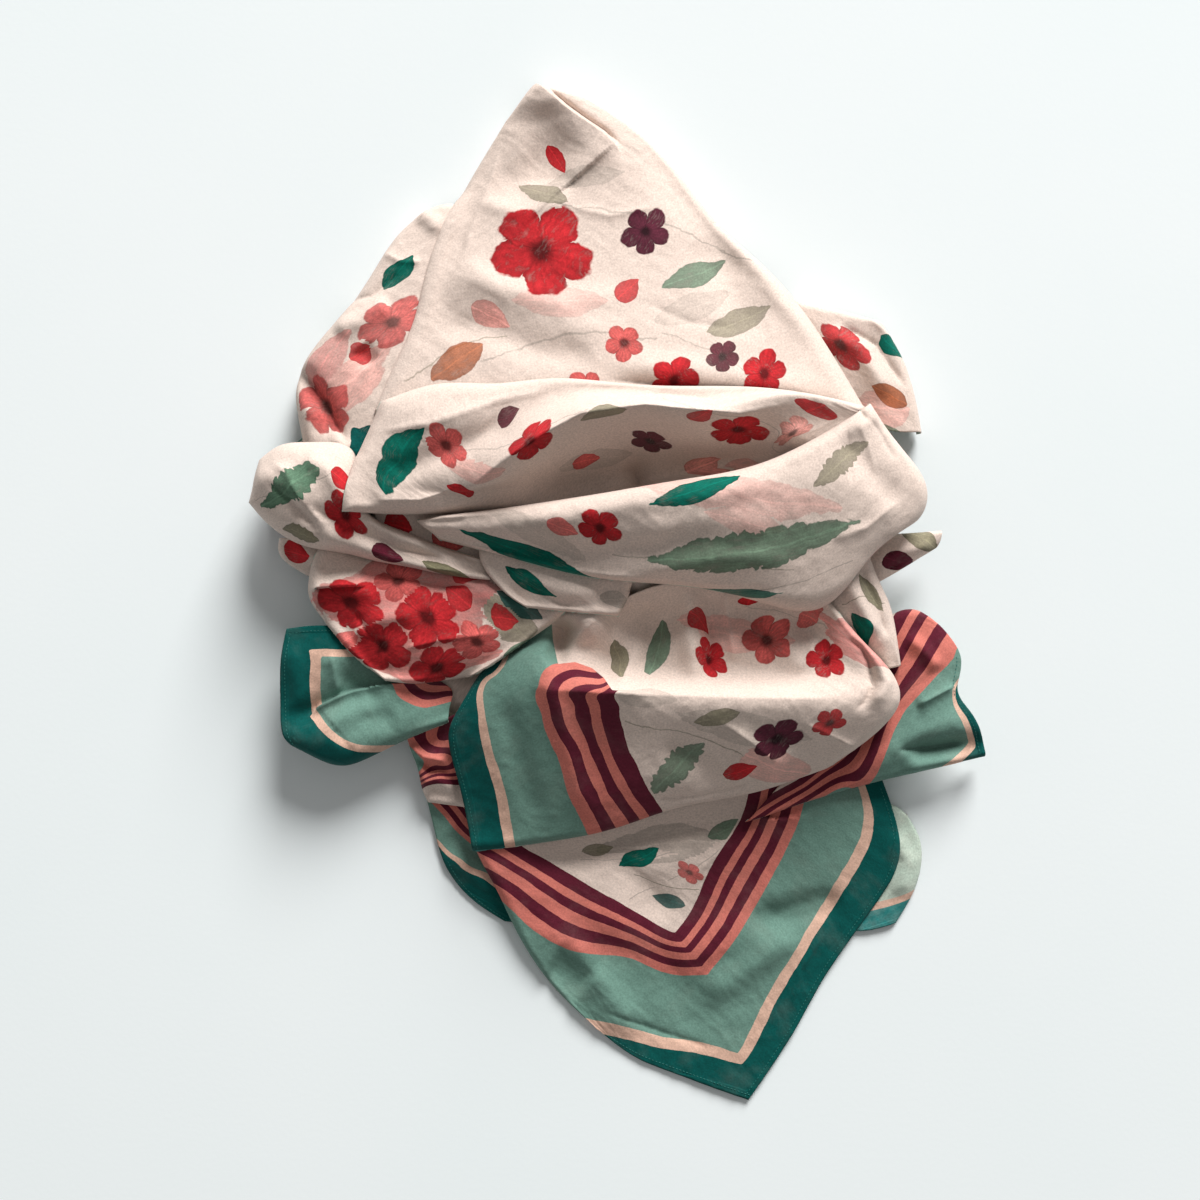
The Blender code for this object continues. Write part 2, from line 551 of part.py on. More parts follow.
def main():
    for obj in list(bpy.data.objects):
        bpy.data.objects.remove(obj)
    collection = bpy.data.collections.new("sarong")
    bpy.context.scene.collection.children.link(collection)
    grids = {name: lofted(name, stretch) for name, stretch in STRETCHES.items()}
    heights = Heights()
    core = heap_core(lowest_walls(grids.values()), collection)
    heights.add(facet_samples(core)[0])
    solids = [core]
    for name, grid in grids.items():
        obj = wall(name, grid, STRETCHES[name]["colour"], collection)
        laid(obj, grid, heights)
        settled(obj, grid, solids)
        heights.add(facet_samples(obj)[0])
        solids.append(obj)
    for obj in collection.objects:
        for vertex in obj.data.vertices:
            vertex.co.x -= ORIGIN[0]
            vertex.co.y -= ORIGIN[1]


main()
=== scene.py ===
"""The shown cloth of a printed sarong dropped in a heap.

Each stretch of the heap gets a thin, fine shell through a net of sections like that of its wall in the model,
with more creases, the printed border, a stand-in floral print and hem stitches.  The nets of upper_swag and
front_roll and two folds of front_cup are some millimetres off those of the walls.  A pale floor, one large
soft light and a camera looking straight down complete the scene.

The nets hold millimetres.  Their x and y say where a point is seen on the surface by an eye straight above
the middle of the heap, and z is its real height.  Creases, bands and motifs are placed on a plan of what
that eye sees: PLAN_UNIT millimetres a unit, y down, the middle at PLAN_MIDDLE.
"""
import json
import math

import bpy
import numpy as np
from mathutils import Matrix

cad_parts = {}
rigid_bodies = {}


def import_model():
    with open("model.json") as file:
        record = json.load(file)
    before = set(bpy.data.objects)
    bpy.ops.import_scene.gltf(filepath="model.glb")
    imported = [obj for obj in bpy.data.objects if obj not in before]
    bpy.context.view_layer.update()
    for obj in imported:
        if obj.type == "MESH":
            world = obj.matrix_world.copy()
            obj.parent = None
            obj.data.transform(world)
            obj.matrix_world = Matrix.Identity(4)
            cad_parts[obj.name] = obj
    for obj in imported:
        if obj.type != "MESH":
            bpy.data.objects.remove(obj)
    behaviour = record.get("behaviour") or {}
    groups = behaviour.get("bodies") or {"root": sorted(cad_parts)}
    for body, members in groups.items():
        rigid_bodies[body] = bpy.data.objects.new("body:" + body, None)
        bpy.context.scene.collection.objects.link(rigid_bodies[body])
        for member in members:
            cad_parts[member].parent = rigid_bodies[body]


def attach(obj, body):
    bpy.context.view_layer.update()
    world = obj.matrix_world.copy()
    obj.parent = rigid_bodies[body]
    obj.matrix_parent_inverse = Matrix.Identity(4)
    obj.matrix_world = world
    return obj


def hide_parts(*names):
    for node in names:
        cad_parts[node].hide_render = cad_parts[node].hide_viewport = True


MM = 0.001
SEED = 7                         # of the small wrinkles
CLOTH = 0.45 * MM                # thickness of the shells
GAP = 0.15 * MM                  # clearance between a shell and what it lies on
EYE_HEIGHT = 1150 * MM           # height from which the nets and the plan are sighted
ORIGIN = (11.94 * MM, 3.42 * MM)   # middle of the heap's box, in the nets' frame
PLAN_UNIT = 0.66 * MM
PLAN_MIDDLE = 600
PLAN_WIDTH = 1200
PITCH = 1.25 * MM                # spacing of a shell's vertices
CELL = 1.5 * MM                  # pitch of the map of heights that the shells are laid on
MAP_HALF = 380 * MM              # the map reaches this far each way from the middle
TUCK = math.radians(55)          # how far a folded edge turns back under itself
TUCK_SHARE = 0.5                 # how fast it sinks there, as a share of its drop
SPREAD_ROUNDS = 50               # smoothing of the lifts that keep shells apart
FOLD_FLAT = 0.3                  # a fold keeps its height over this share of its length, each way
CREASE_RELIEF = 1.8              # all the creases' heights are multiplied by this
CREASE_FADE = 0.22               # share of a crease's length over which an end fades out
KEEN_FALL = 1.4                  # how fast a keen crease falls off
CRUMPLE = 0.13 * MM              # height of each of the small wrinkles' waves
CRUMPLE_LENGTHS = (13, 17, 22, 28, 36, 47)   # their wavelengths, millimetres
CRUMPLE_DRIFT = ((1.6, 0.61), (1.1, 0.37))   # how far and how fast their crests wander, both ways
CRUMPLE_MIDDLE = 0.6             # the level that such a wave goes up and down from, as a share
HEM = 5 * MM                     # width of the turned hem
STITCH_INSET = 3.5 * MM
STITCH_PITCH = 2.4 * MM
STITCH_LENGTH = 1.5 * MM
STITCH_RADIUS = 0.24 * MM
STITCH_SIDES = 5
STITCH_PROFILE = ((0.0, 0.3), (0.25, 1.0), (0.75, 1.0), (1.0, 0.3))   # share of its length, girth there
STITCH_RISE = 0.4                # how far its middle stands up, in radii
HEM_INWARD = 4                   # grid lines between the hem's edge and the one that gives its direction
SMALL = 1e-6

# Each net has a row for each section; its columns run across the stretch.  `edges` gives the four sides,
# first row, last row, first column and last column: (radius, drop) of a folded edge in millimetres, or
# None for a hem or for a side that ends under another stretch.
LEFT_UNDER = dict(
    edges=(None, None, None, None),
    #     hem             middle            under the corner
    net=[[(-116, -125, 4), (-96, -129, 7), (-66, -132, 9)],
         [(-110, -149, 4), (-92, -152, 7), (-63, -157, 10)],
         [(-102, -175, 3), (-82, -177, 6), (-56, -180, 9)],
         [(-85, -197, 2.5), (-69, -198, 5), (-46, -198, 7)],
         [(-63, -212, 2.5), (-51, -213, 4), (-36, -211, 5)]])

TURNED_CORNER = dict(
    edges=((4, 3), None, None, (4, 3)),
    #     under the corner   middle          folded edge
    net=[[(182, -132, 5), (195, -136, 6), (203, -142, 6)],
         [(175, -158, 4), (195, -158, 6), (212, -160, 6)],
         [(165, -188, 3), (188, -188, 5), (209, -189, 5)],
         [(155, -218, 2.5), (178, -218, 3), (196, -213, 3)]])

FRONT_CORNER = dict(
    edges=(None, None, (6, 8), None),
    #     folded edge       inner left        middle           inner right       hem
    net=[[(-88, -140, 16), (-20, -138, 18), (50, -125, 18), (115, -112, 18), (186, -118, 10)],
         [(-82, -167, 18), (-15, -164, 14), (50, -160, 13), (120, -160, 11), (197, -168, 5)],
         [(-71, -188, 16), (0, -188, 10), (60, -188, 9), (120, -192, 7), (180, -203, 4)],
         [(-56, -219, 12), (5, -222, 7), (60, -224, 6), (110, -232, 5), (150, -246, 3)],
         [(-33, -254, 7), (14, -262, 4), (55, -268, 4), (90, -274, 4), (128, -285, 3)],
         [(-5, -280, 3), (22, -301, 2.5), (48, -312, 2.5), (72, -321, 3), (98, -330, 2.5)]])

LEFT_RUFFLE = dict(
    edges=(None, (4, 5), (4, 6), None),
    #     folded edge       middle            under the cup
    net=[[(-128, -91, 20), (-109, -82, 24), (-82, -69, 24)],
         [(-126, -98, 16), (-107, -94, 18), (-80, -89, 20)],
         [(-121, -112, 18), (-104, -109, 22), (-79, -106, 22)],
         [(-118, -125, 12), (-102, -122, 14), (-77, -122, 16)],
         [(-114, -134, 12), (-99, -136, 15), (-75, -139, 14)]])

RIGHT_LOBE = dict(
    edges=((4, 6), (5, 8), None, None),
    #     under the cup    inner left        inner right       outer edge
    net=[[(177, -26, 22), (195, -9, 26), (211, -7, 28), (223, -15, 26)],
         [(178, -43, 22), (201, -33, 28), (221, -30, 30), (238, -37, 26)],
         [(165, -69, 22), (195, -59, 28), (218, -54, 30), (236, -58, 26)],
         [(142, -96, 20), (178, -86, 26), (215, -76, 30), (244, -73, 26)],
         [(116, -125, 18), (165, -107, 24), (211, -94, 28), (252, -88, 24)],
         [(96, -147, 14), (152, -129, 18), (208, -115, 22), (255, -104, 20)]])

LEFT_CORNER = dict(
    edges=(None, (6, 9), None, None),
    #     hem                inner left         middle             inner right       under the panel
    net=[[(-207, -19, 30), (-191, -17, 32), (-172, -18, 32), (-142, -30, 30), (-112, -40, 28)],
         [(-211, -45, 32), (-186, -45, 35), (-165, -46, 34), (-135, -50, 30), (-106, -53, 26)],
         [(-211, -70, 30), (-188, -69, 31), (-165, -59, 30), (-132, -58, 27), (-98, -59, 24)],
         [(-209, -90, 32), (-183, -91, 37), (-160, -84, 36), (-132, -78, 32), (-99, -70, 26)],
         [(-201, -98, 28), (-175, -110, 30), (-156, -106, 30), (-129, -93, 28), (-100, -81, 24)]])

BACK_RIGHT = dict(
    edges=((5, 10), None, None, (6, 12)),
    #     under the peak   middle           folded edge
    net=[[(129, 199, 16), (165, 191, 20), (187, 184, 18)],
         [(142, 172, 20), (172, 165, 24), (197, 168, 20)],
         [(158, 145, 22), (185, 142, 26), (207, 145, 20)],
         [(178, 115, 22), (197, 111, 24), (214, 111, 18)]])

RIGHT_WING = dict(
    edges=((4, 5), (4, 5), None, None),
    #     under the roll  middle          outer edge
    net=[[(164, 44, 36), (198, 44, 33), (226, 46, 28)],
         [(168, 28, 36), (201, 34, 33), (225, 40, 28)],
         [(178, 8, 32), (201, 21, 30), (222, 34, 26)]])

RIGHT_INNER = dict(
    edges=(None, None, None, (6, 12)),
    #     under the cup   middle          folded edge
    net=[[(145, 16, 46), (162, 23, 50), (177, 35, 46)],
         [(150, 0, 46), (168, 7, 50), (185, 14, 42)],
         [(162, -16, 44), (178, -10, 48), (193, -3, 38)],
         [(174, -30, 40), (186, -26, 44), (197, -24, 36)],
         [(184, -45, 36), (192, -45, 38), (199, -43, 33)]])

RECESS = dict(
    edges=(None, None, None, None),
    #     left             middle           right
    net=[[(-150, 66, 42), (-115, 62, 42), (-80, 54, 40)],
         [(-148, 52, 36), (-112, 46, 36), (-78, 38, 34)],
         [(-146, 42, 34), (-112, 34, 34), (-78, 26, 34)]])

FRONT_CUP = dict(
    edges=(None, (5, 9), None, (11, 18)),
    #     hem              sage band         stripes           left              middle            right
    #     folded edge
    net=[[(-33, -10, 34), (-25, -7, 40), (-7, -8, 52), (30, 7, 56), (86, 13, 56), (125, 5, 56),
          (152, 0, 56)],
         [(-53, -30, 36), (-36, -26, 42), (-18, -25, 54), (26, -20, 50), (92, -20, 48), (139, -21, 54),
          (176, -28, 57)],
         [(-76, -45, 35), (-53, -38, 45), (-25, -42, 54), (26, -45, 50), (92, -48, 48), (145, -48, 52),
          (195, -48, 57)],
         [(-90, -66, 34), (-59, -59, 47), (-26, -58, 58), (26, -61, 63), (92, -65, 64), (146, -65, 63),
          (201, -65, 56)],
         [(-100, -89, 30), (-63, -89, 42), (-26, -89, 48), (26, -91, 52), (86, -91, 54), (135, -89, 54),
          (190, -84, 50)],
         [(-93, -122, 24), (-58, -125, 32), (-20, -125, 36), (26, -120, 40), (76, -114, 42),
          (122, -107, 42), (173, -98, 42)],
         [(-84, -166, 18), (-46, -162, 20), (-7, -156, 22), (30, -145, 24), (66, -135, 26),
          (106, -127, 28), (154, -110, 30)]])

TUCKED_EDGE = dict(
    edges=(None, (4, 6), (4, 6), None),
    #     folded edge      middle           under the pouch
    net=[[(-213, 41, 26), (-192, 41, 32), (-172, 40, 34)],
         [(-212, 29, 24), (-190, 27, 30), (-170, 26, 34)],
         [(-194, 16, 24), (-182, 15, 30), (-168, 14, 34)]])

LEFT_PANEL = dict(
    edges=(None, (5, 8), (6, 10), (5, 10)),
    #     folded edge       inner left        inner right       folded edge
    net=[[(-184, 36, 26), (-140, 36, 30), (-85, 28, 36), (-14, 12, 44)],
         [(-194, 5, 34), (-150, 7, 42), (-88, 0, 44), (-24, -9, 46)],
         [(-180, -17, 34), (-138, -20, 44), (-90, -24, 46), (-45, -25, 44)],
         [(-159, -40, 32), (-132, -41, 40), (-100, -41, 42), (-68, -41, 38)],
         [(-141, -53, 29), (-125, -55, 32), (-106, -54, 34), (-86, -51, 33)]])

BACK_LEFT = dict(
    edges=((6, 8), None, (9, 16), None),
    #     folded edge       middle            under the peak
    net=[[(-112, 259, 14), (-99, 263, 16), (-76, 254, 16)],
         [(-131, 247, 18), (-112, 243, 22), (-85, 236, 22)],
         [(-159, 207, 24), (-134, 205, 30), (-100, 202, 30)],
         [(-189, 171, 28), (-158, 166, 36), (-118, 164, 36)],
         [(-203, 143, 30), (-170, 136, 38), (-130, 132, 42)],
         [(-201, 119, 32), (-172, 112, 38), (-138, 108, 44)],
         [(-196, 94, 30), (-170, 88, 38), (-140, 80, 44)]])

LEFT_POUCH = dict(
    edges=((6, 8), (8, 14), (9, 14), None),
    #     folded edge      bulge                                               tail under the roll
    net=[[(-227, 92, 36), (-212, 103, 46), (-190, 105, 50), (-163, 97, 50), (-158, 64, 46),
          (-131, 46, 44), (-106, 36, 42), (-72, 26, 38)],
         [(-231, 76, 40), (-215, 80, 56), (-190, 76, 62), (-166, 62, 60), (-150, 50, 56),
          (-128, 38, 52), (-104, 29, 48), (-72, 21, 42)],
         [(-234, 65, 36), (-222, 51, 44), (-200, 37, 46), (-170, 31, 46), (-150, 26, 46),
          (-128, 22, 44), (-104, 17, 42), (-72, 13, 38)]])

UNDER_PETAL = dict(
    edges=(None, (5, 9), (5, 7), (4, 7)),
    #     folded edge     inner left       inner right     folded edge
    net=[[(-80, 38, 48), (-45, 30, 54), (-10, 20, 56), (22, 14, 56)],
         [(-79, 26, 46), (-50, 18, 52), (-15, 10, 54), (20, 6, 54)],
         [(-64, 6, 44), (-44, 2, 50), (-14, 0, 52), (17, -2, 52)],
         [(-48, -5, 42), (-31, -7, 46), (-8, -9, 48), (12, -11, 48)]])

PEAK = dict(
    edges=((6, 10), None, (9, 14), (9, 14)),
    #     folded edge       inner left        middle            inner right       folded edge
    net=[[(-62, 316, 14), (-52, 331, 18), (-43, 341, 19), (-32, 340, 18), (-12, 333, 14)],
         [(-76, 296, 14), (-54, 306, 21), (-33, 314, 24), (-12, 318, 22), (14, 319, 15)],
         [(-96, 262, 18), (-60, 268, 26), (-22, 276, 28), (17, 283, 27), (51, 286, 20)],
         [(-112, 225, 26), (-70, 228, 36), (-20, 232, 38), (35, 240, 34), (80, 249, 26)],
         [(-123, 184, 34), (-75, 182, 46), (-10, 184, 50), (60, 196, 44), (119, 213, 32)],
         [(-135, 157, 40), (-80, 150, 54), (-5, 150, 59), (75, 157, 54), (150, 172, 40)],
         [(-149, 125, 44), (-85, 118, 57), (0, 120, 60), (90, 122, 58), (180, 122, 46)]])

UPPER_SWAG = dict(
    edges=((5, 8), (6, 10), (10, 16), (4, 8)),
    #     folded edge       left                                middle
    #     right
    net=[[(-145, 131, 50), (-112, 143, 60), (-71, 144, 64), (-25, 147, 64), (22, 143, 64),
          (75, 142, 64), (125, 139, 62), (176, 128, 58)],
         [(-154, 114, 56), (-120, 118, 66), (-78, 118, 70), (-32, 130, 69), (12, 136, 68),
          (70, 132, 68), (123, 137, 67), (176, 127, 62)],
         [(-162, 96, 60), (-128, 90, 68), (-84, 80, 71), (-40, 107, 79), (4, 127, 80),
          (66, 123, 79), (121, 134, 76), (175, 125, 66)],
         [(-166, 80, 60), (-132, 74, 66), (-82, 72, 62), (-20, 92, 60), (20, 105, 58),
          (75, 105, 60), (125, 115, 66), (173, 121, 66)],
         [(-168, 68, 57), (-133, 66, 65), (-82, 66, 58), (-15, 72, 46), (25, 78, 43),
          (80, 88, 48), (128, 100, 62), (171, 116, 66)],
         [(-169, 58, 53), (-132, 57, 60), (-80, 58, 53), (-12, 60, 44), (28, 66, 44),
          (84, 76, 50), (132, 88, 60), (169, 110, 64)]])

FRONT_ROLL = dict(
    edges=((6, 12), (7, 12), (5, 6), (10, 18)),
    #     left tip          left                                 middle
    #     right             folded edge
    net=[[(-122, 53, 50), (-66, 61, 66), (0, 71, 78), (59, 81, 82), (112, 93, 82), (154, 114, 77),
          (180, 131, 66)],
         [(-119, 50, 54), (-59, 51, 71), (3, 57, 83), (64, 65, 87), (120, 75, 86), (165, 91, 80),
          (198, 106, 64)],
         [(-115, 47, 54), (-54, 41, 67), (8, 38, 78), (69, 41, 82), (129, 51, 82), (175, 66, 79),
          (218, 77, 60)],
         [(-111, 44, 51), (-54, 34, 61), (7, 24, 69), (71, 20, 73), (128, 21, 75), (166, 36, 75),
          (212, 53, 59)],
         [(-107, 40, 49), (-56, 27, 55), (1, 14, 60), (66, 8, 63), (116, -4, 67), (152, -3, 67),
          (188, 46, 60)]])

# Bottom to top: each stretch is laid on those before it.
STRETCHES = dict(
    left_under=LEFT_UNDER, turned_corner=TURNED_CORNER, front_corner=FRONT_CORNER,
    left_ruffle=LEFT_RUFFLE, right_lobe=RIGHT_LOBE, left_corner=LEFT_CORNER, back_right=BACK_RIGHT,
    right_wing=RIGHT_WING, right_inner=RIGHT_INNER, recess=RECESS, front_cup=FRONT_CUP,
    tucked_edge=TUCKED_EDGE, left_panel=LEFT_PANEL, back_left=BACK_LEFT, left_pouch=LEFT_POUCH,
    under_petal=UNDER_PETAL, peak=PEAK, upper_swag=UPPER_SWAG, front_roll=FRONT_ROLL)

# Folds raised or sunk in the walls: where each starts and ends (x, y as in the nets), half its width and
# its height at the middle, in millimetres.  A negative height is a trough.
FOLDS = dict(
    front_corner=[((105, -210), (160, -198), 10, -3), ((-40, -200), (20, -290), 12, 3),
                  ((20, -180), (70, -300), 12, -2)],
    right_lobe=[((255, -92), (198, -97), 7, -5), ((150, -118), (245, -70), 9, 3)],
    left_corner=[((-205, -78), (-135, -56), 7, -6)],
    front_cup=[((60, 8), (55, -52), 8, 3), ((82, 8), (88, -26), 7, 3), ((-22, -14), (-28, -38), 6, -14),
               ((82, -82), (120, -108), 8, 4)],
    back_left=[((-198, 154), (-166, 102), 7, -7), ((-120, 256), (-104, 240), 6, 4)],
    peak=[((-60, 262), (-20, 300), 14, -5), ((-110, 215), (20, 160), 14, 4),
          ((60, 230), (100, 170), 14, -4)],
    upper_swag=[((22, 92), (26, 76), 7, -6), ((-140, 120), (-60, 110), 12, 3)],
    front_roll=[((150, 100), (186, 60), 9, -4), ((20, 40), (110, 50), 12, 3)],
    left_pouch=[((-225, 84), (-180, 60), 9, 4)],
    left_panel=[((-188, 6), (-140, 6), 6, 4)])

# Creases and folds beyond those: kind, half its width and its height in millimetres, then points on the plan.
# A soft one is rounded, a keen one is pinched, and a lip is a step up on the left of its line that eases off.
CREASES = dict(
    peak=[("lip", 28, 4.6, [(622, 156), (616, 145), (601, 133), (582, 120), (563, 106), (534, 82), (520, 70)]),
          ("keen", 2.2, -2.4, [(620, 150), (620, 143), (605, 129), (586, 116), (567, 102), (540, 80)]),
          ("lip", 12, 0.5, [(548, 196), (562, 188), (592, 168), (616, 148)]),
          ("soft", 17, -3.4, [(548, 196), (545, 168), (546, 130), (542, 100)]),
          ("soft", 7, 1.2, [(622, 146), (600, 160), (566, 182)]),
          ("keen", 5, -2.2, [(598, 379), (660, 384), (720, 392), (790, 398), (862, 404)]),
          ("soft", 9, 2.0, [(600, 364), (680, 370), (760, 380), (830, 392)]),
          ("keen", 4, 1.2, [(500, 150), (488, 190), (470, 232), (462, 262)]),
          ("soft", 12, -2.2, [(640, 130), (672, 182), (712, 230), (742, 300)]),
          ("soft", 7, 1.6, [(690, 180), (735, 240), (780, 300), (820, 352)]),
          ("soft", 8, 1.5, [(452, 262), (500, 288), (560, 300), (640, 296)]),
          ("soft", 10, -1.8, [(430, 320), (490, 330), (540, 352), (600, 356)]),
          ("keen", 4, 1.0, [(560, 205), (610, 216), (660, 206)]),
          ("keen", 4, -0.9, [(640, 300), (690, 322), (740, 330)]),
          ("soft", 6, 1.3, [(470, 200), (520, 214), (580, 196)])],
    back_left=[("keen", 6, -4.0, [(299, 366), (321, 395), (349, 448)]),
               ("soft", 7, -3.0, [(358, 346), (364, 354), (372, 366)]),
               ("soft", 7, 2.6, [(330, 330), (360, 322), (392, 300)]),
               ("keen", 4, -1.6, [(340, 300), (372, 296), (402, 270)]),
               ("soft", 6, 2.2, [(300, 402), (330, 420), (352, 462)]),
               ("keen", 4, 1.5, [(380, 250), (400, 262), (424, 262)])],
    upper_swag=[("soft", 13, 3.0, [(440, 506), (466, 492), (503, 462), (544, 435), (581, 415), (646, 406),
                                   (739, 415), (800, 396)]),
                ("keen", 6, 3.5, [(452, 500), (466, 492), (503, 462), (544, 435), (581, 415), (646, 406),
                                  (739, 415), (800, 400)]),
                ("keen", 5, -5.0, [(632, 461), (637, 474), (640, 487)]),
                ("soft", 17, -9.0, [(520, 500), (580, 484), (637, 474), (720, 466), (800, 440)]),
                ("soft", 7, 2.0, [(640, 434), (700, 442), (770, 440), (830, 424)]),
                ("keen", 4, -1.4, [(700, 458), (760, 458), (815, 446)]),
                ("keen", 4, 1.6, [(372, 432), (430, 424), (500, 400), (560, 388)]),
                ("soft", 8, -2.6, [(372, 480), (420, 462), (470, 440), (520, 414)]),
                ("keen", 4, 1.2, [(372, 500), (420, 500), (462, 486)]),
                ("keen", 4, -1.5, [(590, 398), (660, 394), (730, 400)])],
    front_roll=[("keen", 5, -3.0, [(838, 398), (855, 402), (862, 412), (868, 424)]),
                ("keen", 4, 0.8, [(868, 406), (888, 420), (910, 446)]),
                ("keen", 4, -0.9, [(862, 412), (880, 432), (896, 462)]),
                ("keen", 4, 0.8, [(856, 420), (868, 444), (876, 476)]),
                ("keen", 4, -0.8, [(846, 424), (850, 452), (852, 486)]),
                ("soft", 9, 2.4, [(480, 522), (560, 516), (640, 500), (720, 492), (800, 476)]),
                ("soft", 8, -2.6, [(500, 546), (580, 552), (660, 546), (740, 528)]),
                ("soft", 7, 1.8, [(560, 586), (640, 576), (720, 560), (800, 556)]),
                ("keen", 4, -1.5, [(620, 596), (700, 592), (790, 590)]),
                ("keen", 4, 1.4, [(830, 540), (866, 528), (900, 500)]),
                ("soft", 6, -2.0, [(856, 590), (872, 560), (900, 536)])],
    front_cup=[("keen", 7, 2.2, [(520, 684), (561, 690), (640, 694), (740, 697), (821, 698), (850, 694)]),
               ("soft", 17, -8.0, [(580, 640), (640, 622), (700, 612), (760, 614), (820, 632), (850, 660)]),
               ("soft", 14, -3.0, [(600, 672), (680, 676), (760, 676), (840, 672)]),
               ("lip", 11, 3.2, [(660, 693), (612, 690), (604, 678), (592, 668), (575, 662), (558, 664), (552, 636)]),
               ("soft", 13, -7.0, [(562, 616), (568, 644), (592, 654), (628, 674)]),
               ("soft", 8, 3.2, [(690, 584), (690, 630), (700, 690)]),
               ("keen", 5, 2.2, [(724, 586), (730, 620), (734, 664)]),
               ("soft", 7, -2.6, [(650, 600), (652, 640), (650, 676)]),
               ("soft", 9, 2.4, [(770, 600), (790, 640), (800, 680)]),
               ("keen", 4, -2.0, [(708, 590), (712, 640), (708, 682)]),
               ("soft", 7, -2.2, [(800, 610), (822, 640), (832, 676)]),
               ("keen", 3, -2.5, [(846, 636), (862, 648), (869, 662), (874, 687), (866, 702), (854, 713)]),
               ("soft", 5, 2.5, [(852, 628), (876, 650), (886, 682), (872, 712)]),
               ("keen", 3.5, 1.2, [(716, 718), (750, 742), (784, 770)]),
               ("soft", 10, -2.6, [(660, 740), (700, 760), (720, 790)]),
               ("soft", 8, 2.0, [(540, 660), (560, 720), (580, 790), (600, 830)]),
               ("soft", 9, -1.8, [(500, 690), (520, 760), (540, 830)]),
               ("keen", 4, 1.5, [(800, 722), (840, 740), (862, 752)]),
               ("keen", 4, -1.4, [(640, 800), (700, 796), (760, 780)])],
    front_corner=[("soft", 10, -3.0, [(742, 918), (790, 914), (846, 900)]),
                  ("soft", 13, -4.0, [(500, 866), (560, 860), (620, 846), (680, 832), (740, 816), (790, 800)]),
                  ("soft", 16, 2.6, [(560, 900), (620, 920), (690, 950), (750, 930), (800, 870)]),
                  ("lip", 8, 2.5, [(811, 812), (776, 819), (748, 812)]),
                  ("soft", 14, -3.0, [(548, 960), (570, 969), (592, 986)]),
                  ("soft", 10, 2.6, [(700, 1000), (745, 970), (800, 930)]),
                  ("soft", 9, 2.0, [(560, 930), (610, 990), (640, 1040)]),
                  ("keen", 4, 1.2, [(690, 880), (720, 850), (744, 820)]),
                  ("soft", 8, -2.0, [(610, 860), (650, 890), (676, 920)]),
                  ("keen", 4, -1.2, [(600, 1010), (660, 1032), (716, 1050)]),
                  ("keen", 3, 1.0, [(790, 1010), (800, 970), (826, 930)])],
    right_lobe=[("keen", 4, -3.6, [(968, 742), (935, 748), (896, 750)]),
                ("keen", 4, 2.4, [(957, 684), (938, 694), (915, 706)]),
                ("soft", 8, -2.2, [(880, 722), (850, 756), (820, 790)]),
                ("soft", 5, 2.0, [(905, 636), (925, 652), (940, 672)]),
                ("soft", 6, 1.8, [(900, 770), (935, 762), (968, 758)])],
    left_corner=[("lip", 16, 4.5, [(440, 682), (404, 682), (380, 684), (352, 690), (335, 698), (318, 706),
                                   (306, 722)]),
                 ("soft", 9, -3.0, [(410, 664), (366, 672), (334, 686)]),
                 ("keen", 4, 1.4, [(330, 652), (336, 680), (340, 694)]),
                 ("soft", 8, -2.0, [(330, 740), (360, 722), (400, 716)]),
                 ("soft", 7, 1.8, [(292, 640), (298, 690), (300, 730)])],
    left_ruffle=[("keen", 4, 3.0, [(408, 742), (424, 757), (448, 760)]),
                 ("keen", 4, -3.5, [(412, 756), (430, 770), (452, 772)]),
                 ("soft", 5, 2.5, [(418, 786), (436, 780), (460, 790)])],
    left_under=[("soft", 6, 1.6, [(440, 850), (470, 872), (500, 892)]),
                ("soft", 5, -1.6, [(446, 830), (474, 850), (496, 866)])],
    left_panel=[("lip", 10, 3.5, [(307, 591), (336, 586), (370, 586)]),
                ("soft", 6, 2.0, [(350, 640), (380, 620), (420, 612)]),
                ("keen", 4, -2.0, [(370, 570), (420, 582), (480, 590)]),
                ("soft", 7, 2.2, [(440, 570), (500, 600), (548, 612)]),
                ("keen", 4, 1.6, [(400, 650), (440, 640), (500, 632)]),
                ("keen", 4, -1.6, [(352, 610), (366, 630), (388, 656)])],
    left_pouch=[("soft", 7, 2.4, [(262, 508), (300, 524), (350, 550), (420, 573), (480, 580)]),
                ("keen", 5, -2.4, [(296, 500), (345, 526), (395, 548), (450, 560)]),
                ("keen", 4, 2.2, [(268, 460), (286, 472), (300, 500), (330, 530)]),
                ("keen", 4, -2.2, [(262, 480), (290, 500), (330, 545)]),
                ("soft", 7, 2.4, [(300, 452), (330, 470), (352, 510)]),
                ("soft", 6, -2.4, [(350, 520), (400, 548), (450, 562)]),
                ("keen", 4, 1.5, [(372, 556), (420, 568), (470, 572)])],
    tucked_edge=[("soft", 4, 1.5, [(290, 548), (320, 560), (344, 574)])],
    under_petal=[("soft", 8, 2.5, [(500, 570), (560, 590), (610, 598)]),
                 ("keen", 4, -1.6, [(520, 580), (560, 604), (600, 612)])],
    back_right=[("soft", 7, 3.0, [(820, 330), (860, 350), (890, 400)]),
                ("keen", 4, -2.4, [(836, 322), (876, 344), (908, 390)]),
                ("keen", 4, 1.6, [(860, 312), (896, 340), (914, 380)])],
    right_wing=[("soft", 5, 2.2, [(870, 560), (900, 552), (936, 545)]),
                ("keen", 3, -1.6, [(880, 572), (910, 562), (936, 552)])],
    right_inner=[("soft", 6, 2.6, [(838, 570), (858, 600), (876, 640)]),
                 ("keen", 4, -2.2, [(858, 566), (876, 600), (888, 640)])],
    turned_corner=[("soft", 6, 1.6, [(890, 830), (908, 860), (900, 900)])])

